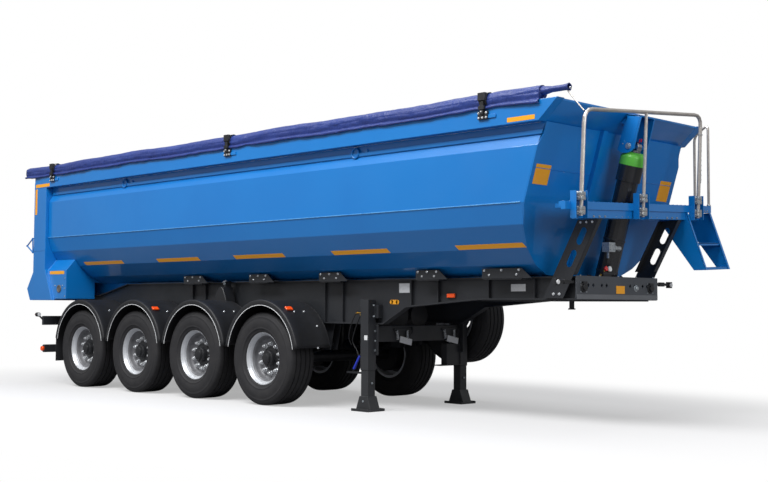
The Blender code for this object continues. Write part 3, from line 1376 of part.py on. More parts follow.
def build_platform():
    """A deck on a front beam, an apron with a shelf for the struts, and channels for the rail's posts."""
    top = DECK_TOP_Z
    beam = top - DECK_DEPTH
    well_front = DECK_FRONT_X - DECK_BEAM_DEPTH
    low = top - APRON_DEPTH
    deck = box((DECK_REAR_X, DECK_RIGHT_Y, beam), (DECK_FRONT_X, DECK_LEFT_Y, top))
    face = DECK_FRONT_X - APRON_SETBACK
    apron = [
        (APRON_RIGHT_Y, beam + APRON_SHEET),
        (APRON_LEFT_Y, beam + APRON_SHEET),
        (APRON_LEFT_Y, low),
        (APRON_RIGHT_Y + APRON_CHAMFER, low),
        (APRON_RIGHT_Y, low + APRON_CHAMFER),
    ]
    shelf_low = (face - APRON_SHELF, APRON_RIGHT_Y + APRON_CHAMFER, low)
    shelf = box(shelf_low, (face, APRON_LEFT_Y, low + APRON_SHEET))
    pieces = [deck, prism(apron, "X", face - APRON_SHEET, face), shelf]
    cuts = [
        box(
            (DECK_REAR_X - OVERRUN, -DECK_WELL_HALF_Y, low - OVERRUN),
            (well_front, DECK_WELL_HALF_Y, top + OVERRUN),
        ),
        box(
            (DECK_REAR_X - OVERRUN, DECK_RIGHT_Y - OVERRUN, beam - OVERRUN / 2),
            (face - APRON_SHEET * 3, DECK_LEFT_Y + OVERRUN, top - DECK_SHEET),
        ),
        box(
            (DECK_REAR_X - OVERRUN, DECK_RIGHT_Y - OVERRUN, beam - OVERRUN),
            (DECK_FRONT_X - DECK_END_DEPTH, DECK_END_Y, top + OVERRUN),
        ),
    ]
    for y in post_places():
        pieces.extend(post_channel(y))
    return node("platform", tilted(combine(joined(pieces), cuts, "DIFFERENCE")), "blue")


def post_places():
    return [RAIL_MIDDLE_Y - RAIL_POST_Y, RAIL_MIDDLE_Y, RAIL_MIDDLE_Y + RAIL_POST_Y]


def post_channel(y):
    """An upright channel on the deck's front that a post stands in."""
    half = CHANNEL_WIDTH / 2
    low = DECK_TOP_Z - CHANNEL_DROP
    high = DECK_TOP_Z + CHANNEL_RISE
    rear = DECK_FRONT_X - CHANNEL_SHEET / 2
    front = DECK_FRONT_X + CHANNEL_SHEET
    made = [box((rear, y - half, low), (front, y + half, high))]
    for side in (-1, 1):
        y_low, y_high = sorted((y + side * half, y + side * (half - CHANNEL_SHEET)))
        made.append(box((rear, y_low, low), (DECK_FRONT_X + CHANNEL_LIP, y_high, high)))
    return made


def build_strut(name, side):
    """A slotted channel that leans forward from the frame up to the platform's shelf."""
    low_y = side * (FLANGE_OUTER_Y + SEAT_GAP)
    sheet_y = low_y + side * STRUT_SHEET
    front = STRUT_WIDTH
    back = STRUT_SHEET
    section = [
        (0, low_y),
        (front, low_y),
        (front, low_y + side * STRUT_FLANGE),
        (front - STRUT_SHEET, low_y + side * STRUT_FLANGE),
        (front - STRUT_SHEET, sheet_y),
        (back, sheet_y),
        (back, low_y + side * STRUT_REAR_FLANGE),
        (0, low_y + side * STRUT_REAR_FLANGE),
    ]
    top_z = DECK_TOP_Z - APRON_DEPTH - SEAT_GAP
    height = top_z - STRUT_FOOT_Z
    travel = STRUT_TOP_X - STRUT_WIDTH / 2 - STRUT_FOOT_X
    shape = prism(section, "Z", STRUT_FOOT_Z, top_z)
    for vertex in shape.data.vertices:
        vertex.co.x += STRUT_FOOT_X + travel * (vertex.co.z - STRUT_FOOT_Z) / height
    cuts = []
    reach = sorted((low_y - side * OVERRUN, low_y + side * STRUT_SHEET * 2))
    along = Vector((travel, height)).normalized() * (STRUT_SLOT_LENGTH / 2)
    lean = math.degrees(math.atan2(height, travel))
    for share in STRUT_SLOT_SHARES:
        middle = STRUT_FOOT_X + STRUT_WIDTH / 2 + travel * share
        centre = Vector((middle, STRUT_FOOT_Z + height * share))
        slot = arc(centre + along, STRUT_SLOT_WIDTH / 2, lean - 90, lean + 90, 6)
        slot += arc(centre - along, STRUT_SLOT_WIDTH / 2, lean + 90, lean + 270, 6)
        cuts.append(prism(slot, "Y", *reach))
    return node(name, tilted(combine(shape, cuts, "DIFFERENCE")), "anthracite")


def bent(corners, radius, steps=4):
    """The corners of a tube's route with each inner corner rounded."""
    route = [Vector(corners[0])]
    for before, corner, after in zip(corners, corners[1:], corners[2:]):
        corner = Vector(corner)
        back = (Vector(before) - corner).normalized() * radius
        ahead = (Vector(after) - corner).normalized() * radius
        for step in range(steps + 1):
            t = step / steps
            route.append(corner + back * (1 - t) ** 2 + ahead * t**2)
    route.append(Vector(corners[-1]))
    return route


def build_front_handrail():
    """Three posts under one top tube, each with two clamps that bolt into a channel of the platform."""
    foot_z = DECK_TOP_Z - CHANNEL_DROP + CLAMP_DEPTH
    lean = RAIL_POST_LEAN
    right, middle_y, left = post_places()
    low_top = RAIL_POST_TOP_Z - RAIL_TOP_RISE
    high_top = RAIL_POST_TOP_Z + RAIL_TOP_RISE
    corners = [
        (RAIL_POST_X, right, foot_z),
        (RAIL_POST_X + lean, right, low_top),
        (RAIL_POST_X + lean, left, high_top),
        (RAIL_POST_X, left, foot_z),
    ]
    pieces = [tube(bent(corners, RAIL_CORNER_RADIUS), RAIL_TUBE_RADIUS)]
    middle_top = (RAIL_POST_X + lean, middle_y, RAIL_POST_TOP_Z - RAIL_TUBE_RADIUS / 2)
    middle = [(RAIL_POST_X, middle_y, foot_z), middle_top]
    pieces.append(tube(middle, RAIL_TUBE_RADIUS * 7 / 8))
    for y in (right, middle_y, left):
        for z in (foot_z + CLAMP_HEIGHT, DECK_TOP_Z + CHANNEL_RISE - CLAMP_HEIGHT):
            pieces.append(
                box(
                    (DECK_FRONT_X + CHANNEL_SHEET + SEAT_GAP, y - CLAMP_WIDTH / 2, z - CLAMP_HEIGHT / 2),
                    (RAIL_POST_X + CLAMP_DEPTH, y + CLAMP_WIDTH / 2, z + CLAMP_HEIGHT / 2),
                )
            )
    return node("front_handrail", tilted(joined(pieces, "MANIFOLD")), "aluminium")


def build_side_handrail():
    """The hoop at the platform's left end, lower at the rear where the bed's rail passes beside it."""
    foot = DECK_TOP_Z + SEAT_GAP
    corners = [
        (HOOP_REAR_X, HOOP_Y, foot),
        (HOOP_REAR_X, HOOP_Y, HOOP_REAR_Z),
        (HOOP_FRONT_X, HOOP_Y, HOOP_TOP_Z),
        (HOOP_FRONT_X, HOOP_Y, foot),
    ]
    hoop = tube(bent(corners, HOOP_CORNER_RADIUS), RAIL_TUBE_RADIUS * 3 / 4)
    return node("side_handrail", tilted(hoop), "aluminium")


def build_ladder():
    """Two tapered stringers under the deck with three treads between them."""
    top = DECK_TOP_Z - DECK_DEPTH - SEAT_GAP
    outline = [
        (DECK_FRONT_X - LADDER_TOP_LENGTH, top),
        (DECK_FRONT_X, top),
        (LADDER_FOOT_X, LADDER_FOOT_Z),
        (LADDER_FOOT_X - LADDER_FOOT_LENGTH, LADDER_FOOT_Z),
    ]
    pieces = []
    for low in (LADDER_INNER_Y, LADDER_OUTER_Y - LADDER_SHEET):
        pieces.append(prism(outline, "Y", low, low + LADDER_SHEET))
    height = top - LADDER_FOOT_Z
    for share in LADDER_TREAD_SHARES:
        z = top - height * share
        rear = outline[0][0] + (outline[3][0] - outline[0][0]) * share + LADDER_TREAD_INSET
        front = outline[1][0] + (outline[2][0] - outline[1][0]) * share - LADDER_TREAD_INSET
        pieces.append(
            box(
                (rear, LADDER_INNER_Y + LADDER_SHEET / 2, z - LADDER_STEP_DEPTH / 2),
                (front, LADDER_OUTER_Y - LADDER_SHEET / 2, z + LADDER_STEP_DEPTH / 2),
            )
        )
    notch = box(
        (DECK_FRONT_X - CHANNEL_SHEET, LADDER_INNER_Y - OVERRUN, DECK_TOP_Z - CHANNEL_DROP - CHANNEL_SHEET),
        (DECK_FRONT_X + CHANNEL_LIP * 2, post_places()[2] + CHANNEL_WIDTH / 2 + CHANNEL_SHEET, DECK_TOP_Z),
    )
    return node("ladder", tilted(combine(joined(pieces), [notch], "DIFFERENCE")), "blue")


def build_rear_bumper():
    half = BUMPER_THICKNESS / 2
    bar = box(
        (BUMPER_X - half, -BUMPER_HALF_WIDTH, BUMPER_Z - BUMPER_HEIGHT / 2),
        (BUMPER_X + half, BUMPER_HALF_WIDTH, BUMPER_Z + BUMPER_HEIGHT / 2),
    )
    pieces = [bar]
    rear = LAMP_BAR_X + LAMP_BAR_THICKNESS / 2 + SEAT_GAP
    front = rear + BUMPER_ARM_LENGTH
    arm = [
        (rear, BUMPER_Z),
        (front, BUMPER_Z),
        (front, rail_bottom_z(front) - SEAT_GAP),
        (rear, rail_bottom_z(rear) - SEAT_GAP),
    ]
    for side in (1, -1):
        low, high = sorted((side * (FLANGE_OUTER_Y - BUMPER_ARM_WIDTH), side * FLANGE_OUTER_Y))
        pieces.append(prism(arm, "Y", low, high))
    return node("rear_bumper", joined(pieces), "anthracite")


def build_lamp_bar():
    half = LAMP_BAR_THICKNESS / 2
    bar = box(
        (LAMP_BAR_X - half, -LAMP_BAR_HALF_WIDTH, LAMP_BAR_Z - LAMP_BAR_HEIGHT / 2),
        (LAMP_BAR_X + half, LAMP_BAR_HALF_WIDTH, LAMP_BAR_Z + LAMP_BAR_HEIGHT / 2),
    )
    return node("lamp_bar", bar, "anthracite")


def build_wheels():
    for side, word in ((-1, "right"), (1, "left")):
        for number in range(AXLE_COUNT):
            x = axle_x(number)
            y = side * WHEEL_CENTRE_Y
            build_tyre(f"tyre_{word}_{number + 1}", x, y, TYRE_RADIUS, side)
            build_rim(f"rim_{word}_{number + 1}", x, y, TYRE_RADIUS, side, True)


def main():
    build_frame()
    build_front_crossmember()
    build_coupling_plate()
    build_landing_leg("landing_leg_right", -1)
    build_landing_leg("landing_leg_left", 1)
    build_landing_crossbeam()
    build_mudguards("mudguards_right", -1)
    build_mudguards("mudguards_left", 1)
    for number in range(AXLE_COUNT):
        build_axle(number)
    build_spare()
    build_air_tanks()
    build_hoist_cradle()
    build_platform()
    build_strut("platform_strut_right", -1)
    build_strut("platform_strut_left", 1)
    build_front_handrail()
    build_side_handrail()
    build_ladder()
    build_rear_bumper()
    build_lamp_bar()
    build_trough()
    build_front_wall()
    build_side_rail("side_rail_right", -1)
    build_side_rail("side_rail_left", 1)
    build_visor()
    build_rear_portal()
    build_sills()
    build_hoist_bracket()
    build_tarp_roll()
    build_tailgate()
    build_hoist()
    build_wheels()


main()
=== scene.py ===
"""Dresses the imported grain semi-trailer: finishes, wheels, rolled cover, lamps, bolts and small fittings.

Lengths are metres in the part's own frame: +X forwards, +Z up, right is -Y, and the floor is z = 0.
"""

from math import asin, atan2, cos, exp, hypot, pi, radians, sin, sqrt

import bmesh
import bpy
from mathutils import Matrix, Vector, noise


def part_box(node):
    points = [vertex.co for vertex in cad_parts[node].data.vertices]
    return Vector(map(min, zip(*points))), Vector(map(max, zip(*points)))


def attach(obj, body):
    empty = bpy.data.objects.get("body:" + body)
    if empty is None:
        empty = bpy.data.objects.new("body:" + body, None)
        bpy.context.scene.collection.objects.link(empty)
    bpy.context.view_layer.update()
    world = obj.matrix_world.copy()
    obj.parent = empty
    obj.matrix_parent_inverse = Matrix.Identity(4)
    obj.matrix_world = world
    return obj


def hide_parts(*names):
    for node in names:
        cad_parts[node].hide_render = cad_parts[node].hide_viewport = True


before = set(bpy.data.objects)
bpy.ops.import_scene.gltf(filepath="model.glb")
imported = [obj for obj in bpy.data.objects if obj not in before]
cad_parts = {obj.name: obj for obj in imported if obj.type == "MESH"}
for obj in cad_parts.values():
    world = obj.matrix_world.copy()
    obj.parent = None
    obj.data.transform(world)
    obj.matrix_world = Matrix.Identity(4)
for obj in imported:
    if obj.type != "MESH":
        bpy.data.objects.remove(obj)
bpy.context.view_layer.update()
SIDES = ((-1, "right"), (1, "left"))

# Camera of the photograph, in metres and radians
CAMERA_PLACE = (10.884, -9.539, 1.1395)
CAMERA_YAW = 0.788807
CAMERA_PITCH = 0.055351
CAMERA_ROLL = 0.004679
CAMERA_FOCAL_PIXELS = 1162.0
PHOTO_WIDTH_PIXELS = 768
SENSOR_MM = 36.0

# Places taken over from the part's design
HUB_Z = 0.53
WHEEL_Y = 1.013
AXLES_X = (0.505, -0.805, -2.115, -3.425)
WALL_SLOPE = 0.306
WALL_REF = (4.521, 2.819)
HOIST_FOOT = Vector((4.34, 0, 1.37))
HOIST_EYE = Vector((4.705, 0, 2.67))


# Materials


def srgb(red, green, blue):
    """A colour written as it looks on screen, from 0 to 255, as linear values."""
    shares = [part / 255 for part in (red, green, blue)]
    return (*(s / 12.92 if s <= 0.04045 else ((s + 0.055) / 1.055) ** 2.4 for s in shares), 1)


def add_node(tree, kind, inputs=None, **settings):
    """A shader node with its settings made, and its inputs set to values or linked to other outputs."""
    made = tree.nodes.new("ShaderNode" + kind)
    for name, value in settings.items():
        setattr(made, name, value)
    for socket, value in (inputs or {}).items():
        if isinstance(value, bpy.types.NodeSocket):
            tree.links.new(value, made.inputs[socket])
        else:
            made.inputs[socket].default_value = value
    return made


def ranged(low, high, to_low, to_high):
    """The inputs of a node that maps one range to another."""
    return {"From Min": low, "From Max": high, "To Min": to_low, "To Max": to_high}


class Finish:
    """A Principled material with chained steps for its colour, roughness and bump.

    A pattern is a tuple of noise values (scale, detail, roughness, stretch), or the bare scale of cells.
    """

    def __init__(self, name, colour, roughness, metallic=0.0):
        self.material = bpy.data.materials.new(name)
        self.material.use_nodes = True
        self.tree = self.material.node_tree
        self.shader = self.tree.nodes["Principled BSDF"]
        self.colour = srgb(*colour)
        self.set("Base Color", self.colour).set("Roughness", roughness).set("Metallic", metallic)
        self.place = self.node("TexCoord").outputs["Object"]

    def set(self, socket, value):
        self.shader.inputs[socket].default_value = value
        return self

    def node(self, kind, inputs=None, **settings):
        return add_node(self.tree, kind, inputs, **settings)

    def noise(self, scale, detail=3.0, roughness=0.5, stretch=(1, 1, 1)):
        place = self.node("Mapping", {"Scale": stretch, "Vector": self.place}).outputs["Vector"]
        values = {"Scale": scale, "Detail": detail, "Roughness": roughness, "Vector": place}
        return self.node("TexNoise", values).outputs["Fac"]

    def pattern(self, source):
        if isinstance(source, tuple):
            return self.noise(*source)
        return self.node("TexVoronoi", {"Scale": source, "Vector": self.place}).outputs["Distance"]

    def blend(self, share, other):
        """Mixes another colour over what the base colour holds so far."""
        current = self.shader.inputs["Base Color"]
        below = current.links[0].from_socket if current.links else self.colour
        made = self.node("Mix", {"Factor": share, "A": below, "B": srgb(*other)}, data_type="RGBA")
        self.tree.links.new(made.outputs["Result"], current)
        return self

    def patches(self, source, low, high, most, other):
        """Another colour where a pattern passes from low to high, at most to the given share."""
        share = self.node("MapRange", {**ranged(low, high, 0.0, most), "Value": self.pattern(source)})
        return self.blend(share.outputs["Result"], other)

    def rough(self, source, low, high):
        made = self.node("MapRange", {**ranged(0.3, 0.7, low, high), "Value": self.pattern(source)})
        self.tree.links.new(made.outputs["Result"], self.shader.inputs["Roughness"])
        return self

    def bump(self, source, strength, distance):
        values = {"Strength": strength, "Distance": distance, "Height": self.pattern(source)}
        normal = self.shader.inputs["Normal"]
        if normal.links:
            values["Normal"] = normal.links[0].from_socket
        self.tree.links.new(self.node("Bump", values).outputs["Normal"], normal)
        return self

    def coat(self, weight, roughness=None):
        self.set("Coat Weight", weight)
        return self if roughness is None else self.set("Coat Roughness", roughness)

    def dusty(self, colour, top, most):
        """Pale dust that thickens downwards from a height, broken up by noise."""
        height = self.node("SeparateXYZ", {"Vector": self.place}).outputs["Z"]
        fade = self.node("MapRange", {**ranged(top, 0.0, 0.0, most), "Value": height}).outputs["Result"]
        share = self.node("Math", {0: fade, 1: self.noise(6, 6, 0.7)}, operation="MULTIPLY")
        return self.blend(share.outputs["Value"], colour)


def make_finishes():
    made = {
        "blue": Finish("body_blue", (4, 118, 196), 0.34).coat(0.5, 0.05)
        .patches((0.9, 4), 0.35, 0.65, 0.35, (2, 106, 184))
        .patches((38, 4, 0.7), 0.66, 0.85, 0.16, (40, 138, 202)).rough((3, 5), 0.28, 0.42)
        .bump((0.8, 2), 0.25, 0.003).bump((420, 2), 0.08, 0.0004),
        # Pale blue for the crease beads: painted highlight, standing in for the bright line along the trough's
        # crease
        "bead": Finish("bead_painted_highlight_blue", (86, 158, 214), 0.3).coat(0.5)
        .bump((90, 3), 0.3, 0.0006).patches((14, 4), 0.4, 0.7, 0.7, (34, 118, 190)),
        "dark": Finish("chassis_anthracite", (42, 44, 48), 0.42)
        .patches((2.2, 5), 0.4, 0.7, 0.5, (33, 35, 39)).rough((5, 5), 0.36, 0.55)
        .bump((520, 2), 0.16, 0.0004).bump((2.4, 2), 0.3, 0.002).dusty((104, 101, 96), 1.0, 0.14),
        "black": Finish("black_fitting", (30, 31, 34), 0.45)
        .rough((14, 4), 0.36, 0.56).bump((300, 2), 0.15, 0.0004),
        "plastic": Finish("guard_plastic", (24, 25, 28), 0.56)
        .patches((7, 5), 0.45, 0.75, 0.4, (36, 37, 42)).bump(340, 0.3, 0.0004).dusty((98, 95, 92), 1.1, 0.08),
        "tyre": Finish("tyre_rubber", (33, 33, 36), 0.74)
        .patches((9, 6, 0.65), 0.4, 0.75, 0.6, (48, 47, 48)).bump((260, 3), 0.25, 0.0006),
        # Darker grey for the rim's inner disc: painted shade, for the shadow inside the dished rim; its patches
        # are random tone
        "disc": Finish("rim_inside_painted_shade_grey", (112, 113, 117), 0.46, 0.1)
        .patches((13, 6, 0.7), 0.42, 0.75, 0.7, (74, 73, 74)).rough((18, 4), 0.36, 0.58)
        .bump((500, 2), 0.1, 0.0003),
        "rim": Finish("rim_silver_paint", (206, 209, 214), 0.34, 0.3)
        .patches((11, 6, 0.7), 0.55, 0.8, 0.45, (118, 116, 114)).rough((16, 4), 0.28, 0.46)
        .bump((600, 2), 0.08, 0.0003),
        "zinc": Finish("zinc_plate", (196, 202, 206), 0.32, 0.85)
        .patches((60, 5), 0.4, 0.7, 0.7, (150, 158, 166)).rough((90, 3), 0.22, 0.48),
        # A whiter, less metallic copy of the zinc for nuts, bolts and springs: their own zinc colour with
        # painted glints added, so they show as bright dots
        "nut": Finish("zinc_nut_painted_glint", (226, 229, 232), 0.26, 0.5)
        .rough((80, 3), 0.18, 0.34).patches((50, 4), 0.5, 0.8, 0.5, (176, 176, 178)),
        # A lighter copy of the chassis grey for the front crossmember: painted light, for front faces that
        # catch more light
        "front": Finish("front_beam_painted_light_grey", (72, 76, 82), 0.4)
        .patches((2.2, 5), 0.4, 0.7, 0.5, (60, 63, 69)).bump((520, 2), 0.16, 0.0004),
        # A paler grey for the strip on the crossmember's lower edge: painted light, for the lower face that
        # slopes back and catches light from the floor
        "painted_light_strip": Finish("front_painted_light_grey", (104, 107, 112), 0.42)
        .patches((3, 5), 0.4, 0.7, 0.5, (88, 91, 96)),
        "aluminium": Finish("brushed_aluminium", (206, 201, 196), 0.34, 0.75)
        .patches((12, 5, 0.6), 0.4, 0.75, 0.5, (168, 160, 154)).rough((50, 3), 0.28, 0.46)
        .bump((180, 2, 0.5, (1, 1, 0.05)), 0.1, 0.0003),
        "tarp": Finish("tarp_pvc", (34, 54, 124), 0.44).coat(0.2, 0.2)
        .patches((3.5, 5), 0.35, 0.7, 0.6, (46, 70, 146)).rough((9, 4), 0.32, 0.52)
        .bump((620, 1), 0.15, 0.0003).bump((7, 5, 0.75, (1.4, 0.8, 0.8)), 1.0, 0.022),
        "tape": Finish("amber_reflex_tape", (240, 158, 20), 0.36)
        .patches(160, 0.1, 0.6, 0.35, (252, 190, 60)).bump(160, 0.25, 0.0003),
        "white": Finish("white_plate", (222, 224, 226), 0.42)
        .patches((40, 4), 0.45, 0.75, 0.4, (190, 192, 195)),
        "orange": Finish("orange_lens", (244, 84, 16), 0.16).coat(0.6)
        .set("Emission Color", srgb(244, 84, 16)).set("Emission Strength", 0.12).bump(180, 0.35, 0.0006),
        "red": Finish("red_lens", (200, 22, 24), 0.18).coat(0.6).bump(180, 0.35, 0.0006),
        "green": Finish("cap_green", (92, 186, 66), 0.38).patches((20, 4), 0.4, 0.7, 0.4, (74, 164, 56)),
        "hose": Finish("hose_rubber", (26, 26, 28), 0.55).bump((300, 2), 0.2, 0.0004),
        "brass": Finish("brass", (206, 168, 86), 0.32, 0.9).rough((60, 3), 0.24, 0.46),
        "grey": Finish("cap_grey", (96, 92, 88), 0.55).bump((120, 3), 0.2, 0.0006),
        "handle": Finish("handle_blue", (44, 62, 190), 0.38).rough((40, 3), 0.3, 0.5),
        "steel": Finish("polished_rod", (176, 180, 186), 0.2, 1.0)
        .rough((70, 3, 0.5, (1, 1, 0.1)), 0.14, 0.26),
        "cylinder": Finish("cylinder_black", (26, 27, 30), 0.3).coat(0.5, 0.12).rough((6, 4), 0.24, 0.4),
    }
    return {key: finish.material for key, finish in made.items()}


for startup in ("Cube", "Light", "Camera"):
    if startup in bpy.data.objects:
        bpy.data.objects.remove(bpy.data.objects[startup], do_unlink=True)
FINISH = make_finishes()


# Mesh helpers


def turns(count, shift=0.0):
    """Evenly spaced angles round a circle."""
    return [2 * pi * (step + shift) / count for step in range(count)]


def aim(start, direction):
    return Matrix.Translation(Vector(start)) @ Vector(direction).to_track_quat("Z", "Y").to_matrix().to_4x4()


def smooth_route(points, steps=6):
    """A smooth curve through the given points."""
    points = [Vector(p) for p in points]
    padded = [points[0] * 2 - points[1], *points, points[-1] * 2 - points[-2]]
    route = []
    for before, start, end, after in zip(padded, padded[1:], padded[2:], padded[3:]):
        for t in [step / steps for step in range(steps)]:
            square = (2 * before - 5 * start + 4 * end - after) * t * t
            cube = (3 * start - before - 3 * end + after) * t**3
            route.append(0.5 * (2 * start + (end - before) * t + square + cube))
    return [*route, points[-1]]


class Shape:
    """A piece under construction. It is made when its builder has ended, or sooner by make()."""

    waiting = []

    def __init__(
        self, name, finish, body="chassis", bevel=0.0, angle=35, segments=2, solid=0.0, stands_for=None
    ):
        self.name, self.body, self.finish, self.stands_for = name, body, finish, stands_for
        self.bevel, self.angle, self.segments, self.solid = bevel, angle, segments, solid
        self.form = bmesh.new()
        Shape.waiting.append(self)

    def box(self, low, high, turn=None):
        """A box between two opposite corners, turned about its middle."""
        low, high = zip(*[sorted(pair) for pair in zip(low, high)])
        made = bmesh.ops.create_cube(self.form, size=1)["verts"]
        middle = Vector([(a + b) / 2 for a, b in zip(low, high)])
        size = Matrix.Diagonal((*[b - a for a, b in zip(low, high)], 1))
        place = Matrix.Translation(middle) @ (turn or Matrix.Identity(4)) @ size
        bmesh.ops.transform(self.form, matrix=place, verts=made)

    def rod(self, start, end, radius, sides=20, end_radius=None):
        """A rod between two places, tapered if its end has a radius of its own."""
        along = Vector(end) - Vector(start)
        made = bmesh.ops.create_cone(
            self.form, cap_ends=True, segments=sides, radius1=radius,
            radius2=radius if end_radius is None else end_radius, depth=along.length,
        )["verts"]
        bmesh.ops.transform(self.form, matrix=aim(Vector(start) + along / 2, along), verts=made)

    def stub(self, start, reach, radius, sides=20):
        """A rod from a place, given how far it reaches along each axis."""
        self.rod(start, Vector(start) + Vector(reach), radius, sides)

    def turned(self, profile, segments, place, closed=False):
        """Turns (radius, height) points round +Z. A radius of zero closes the form there."""
        rings = []
        for radius, height in profile:
            angles = turns(segments) if radius else [0]
            points = [Vector((radius * cos(a), radius * sin(a), height)) for a in angles]
            rings.append([self.form.verts.new(place @ p) for p in points])
        for first, second in zip(rings, [*rings[1:], *(rings[:1] if closed else [])]):
            for step in range(segments):
                after = (step + 1) % segments
                corners = [first[step % len(first)], first[after % len(first)]]
                corners += [second[after % len(second)], second[step % len(second)]]
                face = list(dict.fromkeys(corners))
                if len(face) > 2:
                    self.form.faces.new(face)

    def loft(self, rows, closed=True, caps=True):
        """Joins rows of points with faces, round each row if closed, with flat ends if capped."""
        rows = [[self.form.verts.new(p) for p in row] for row in rows]
        count = len(rows[0])
        for first, second in zip(rows, rows[1:]):
            for step in range(count if closed else count - 1):
                after = (step + 1) % count
                self.form.faces.new((first[step], first[after], second[after], second[step]))
        if caps:
            self.form.faces.new(list(reversed(rows[0])))
            self.form.faces.new(rows[-1])

    def tube(self, points, radius, sides=12):
        """A round tube along the points, with its ends closed."""
        points = [Vector(p) for p in points]
        side = (points[1] - points[0]).orthogonal().normalized()
        rings = []
        for number, point in enumerate(points):
            ahead = (points[min(number + 1, len(points) - 1)] - points[max(number - 1, 0)]).normalized()
            side = (side - ahead * side.dot(ahead)).normalized()
            other = ahead.cross(side)
            rings.append([point + radius * (side * cos(a) + other * sin(a)) for a in turns(sides)])
        self.loft(rings)

    def prism(self, outline, low, high):
        """A closed outline of points, pushed from one offset to another."""
        self.loft([[Vector(p) + Vector(offset) for p in outline] for offset in (low, high)])

    def plate(self, outline, near, far):
        """An outline of (x, z) points with thickness from one y to another."""
        self.prism([(x, 0, z) for x, z in outline], (0, near, 0), (0, far, 0))

    def bolt(self, place, direction, size=0.009):
        """A hexagon head on a washer with its thread's end, standing on a face at a place."""
        place, up = Vector(place), Vector(direction).normalized()
        self.rod(place, place + up * size * 0.25, size * 1.25, 14)
        self.rod(place, place + up * size, size, 6)
        self.rod(place, place + up * size * 1.35, size * 0.55, 10, size * 0.45)

    def bolts(self, places, direction, size=0.009):
        for place in places:
            self.bolt(place, direction, size)

    def make(self):
        """Turns the shape into an object that rides on its body."""
        Shape.waiting.remove(self)
        bmesh.ops.recalc_face_normals(self.form, faces=self.form.faces)
        mesh = bpy.data.meshes.new(self.name)
        self.form.to_mesh(mesh)
        self.form.free()
        made = placed(self.name, mesh)
        mesh.materials.append(FINISH[self.finish])
        mesh.shade_smooth()
        mesh.set_sharp_from_angle(angle=radians(self.angle))
        if self.solid:
            sheet = made.modifiers.new("sheet", "SOLIDIFY")
            sheet.thickness = self.solid
            sheet.offset = 0
        if self.bevel:
            add_edge(made, self.bevel, self.segments, PIECE_EDGE_ANGLE)
        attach(made, self.body)
        if self.stands_for:
            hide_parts(self.stands_for)
        return made


def placed(name, data):
    """A new object in the scene."""
    made = bpy.data.objects.new(name, data)
    bpy.context.scene.collection.objects.link(made)
    return made


def add_edge(thing, width, segments, angle):
    edge = thing.modifiers.new("edge", "BEVEL")
    edge.width = width
    edge.segments = segments
    edge.limit_method = "ANGLE"
    edge.angle_limit = radians(angle)


def wall_x(z):
    """The outer face of the leaning front wall."""
    return WALL_REF[0] - WALL_SLOPE * (WALL_REF[1] - z)


# Finishes of the frame's own nodes

NODE_FINISH = {
    "blue": (
        "trough", "front_wall", "side_rail_right", "side_rail_left", "visor", "rear_portal", "tailgate",
        "platform", "bed_sills",
    ),
    "dark": (
        "frame", "landing_leg_right", "landing_leg_left", "landing_crossbeam", "rear_bumper", "lamp_bar",
        "coupling_plate",
    ),
    # The front crossmember takes the lighter copy of the chassis grey, painted light
    "front": ("front_crossmember",),
    "black": ("axle_1", "axle_2", "axle_3", "axle_4", "air_tanks", "spare_carrier", "hoist_cradle"),
    "cylinder": ("hoist_base",),
    "steel": ("hoist_stage_1", "hoist_stage_2", "hoist_stage_3", "hoist_stage_4"),
    "aluminium": ("front_handrail", "side_handrail"),
}
EDGE_WIDTH = {
    "trough": 0.006, "front_wall": 0.004, "side_rail_right": 0.008, "side_rail_left": 0.008, "visor": 0.004,
    "rear_portal": 0.006, "tailgate": 0.006, "platform": 0.004, "frame": 0.003, "front_crossmember": 0.002,
    "bed_sills": 0.003, "landing_leg_right": 0.005, "landing_leg_left": 0.005, "landing_crossbeam": 0.005,
    "rear_bumper": 0.006, "lamp_bar": 0.005,
}
PIECE_EDGE_ANGLE = 40
NODE_EDGE_ANGLE = 30
TROUGH_EDGE_ANGLE = 12  # its folds are shallow
WELD_DISTANCE = 0.00005
FLAT_ANGLE = 0.5


def dress_nodes():
    """Finishes on the frame's nodes, and rounded edges where they show."""
    for finish, names in NODE_FINISH.items():
        for name in names:
            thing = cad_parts[name]
            thing.data.materials.clear()
            thing.data.materials.append(FINISH[finish])
            if name in EDGE_WIDTH:
                thing.modifiers.new("weld", "WELD").merge_threshold = WELD_DISTANCE
                flat = thing.modifiers.new("flat", "DECIMATE")
                flat.decimate_type = "DISSOLVE"
                flat.angle_limit = radians(FLAT_ANGLE)
                angle = TROUGH_EDGE_ANGLE if name == "trough" else NODE_EDGE_ANGLE
                add_edge(thing, EDGE_WIDTH[name], 2, angle)


# Wheels

TYRE_SEGMENTS = 160
RIM_SEGMENTS = 120
TYRE_OUTER = 0.53
TREAD_HALF = 0.159
BEAD = 0.2864
BEAD_HALF = 0.136
GROOVES_Y = (-0.098, -0.034, 0.034, 0.098)
GROOVE_HALF = 0.0065
GROOVE_DEPTH = 0.014
TREAD_CROWN = 0.05
# How far out from the hub the rim's painted shade reaches
SHADED_DISC_REACH = 0.262
NUT_CIRCLE = 0.1675
NUT_SEAT = 0.022
NUT_STEPS = ((0.006, 0.0275, 20, None), (0.034, 0.0215, 6, None), (0.052, 0.013, 14, 0.0115))
HUB_BOLT_CIRCLE = 0.078
HUB_BOLT_SEAT = 0.09
# The outer side wall from the shoulder down to the bead with its raised rings, as (radius, offset)
TYRE_SIDE = [
    (0.504, 0.1725), (0.49, 0.1775), (0.478, 0.1815), (0.474, 0.1845), (0.466, 0.1855), (0.462, 0.1838),
    (0.445, 0.1885), (0.425, 0.1915), (0.405, 0.1922), (0.385, 0.1905), (0.365, 0.1865), (0.35, 0.182),
    (0.346, 0.1835), (0.34, 0.1828), (0.337, 0.179), (0.325, 0.1715), (0.316, 0.166), (0.312, 0.1662),
    (0.306, 0.162), (0.3, 0.152), (0.29, 0.137),
]
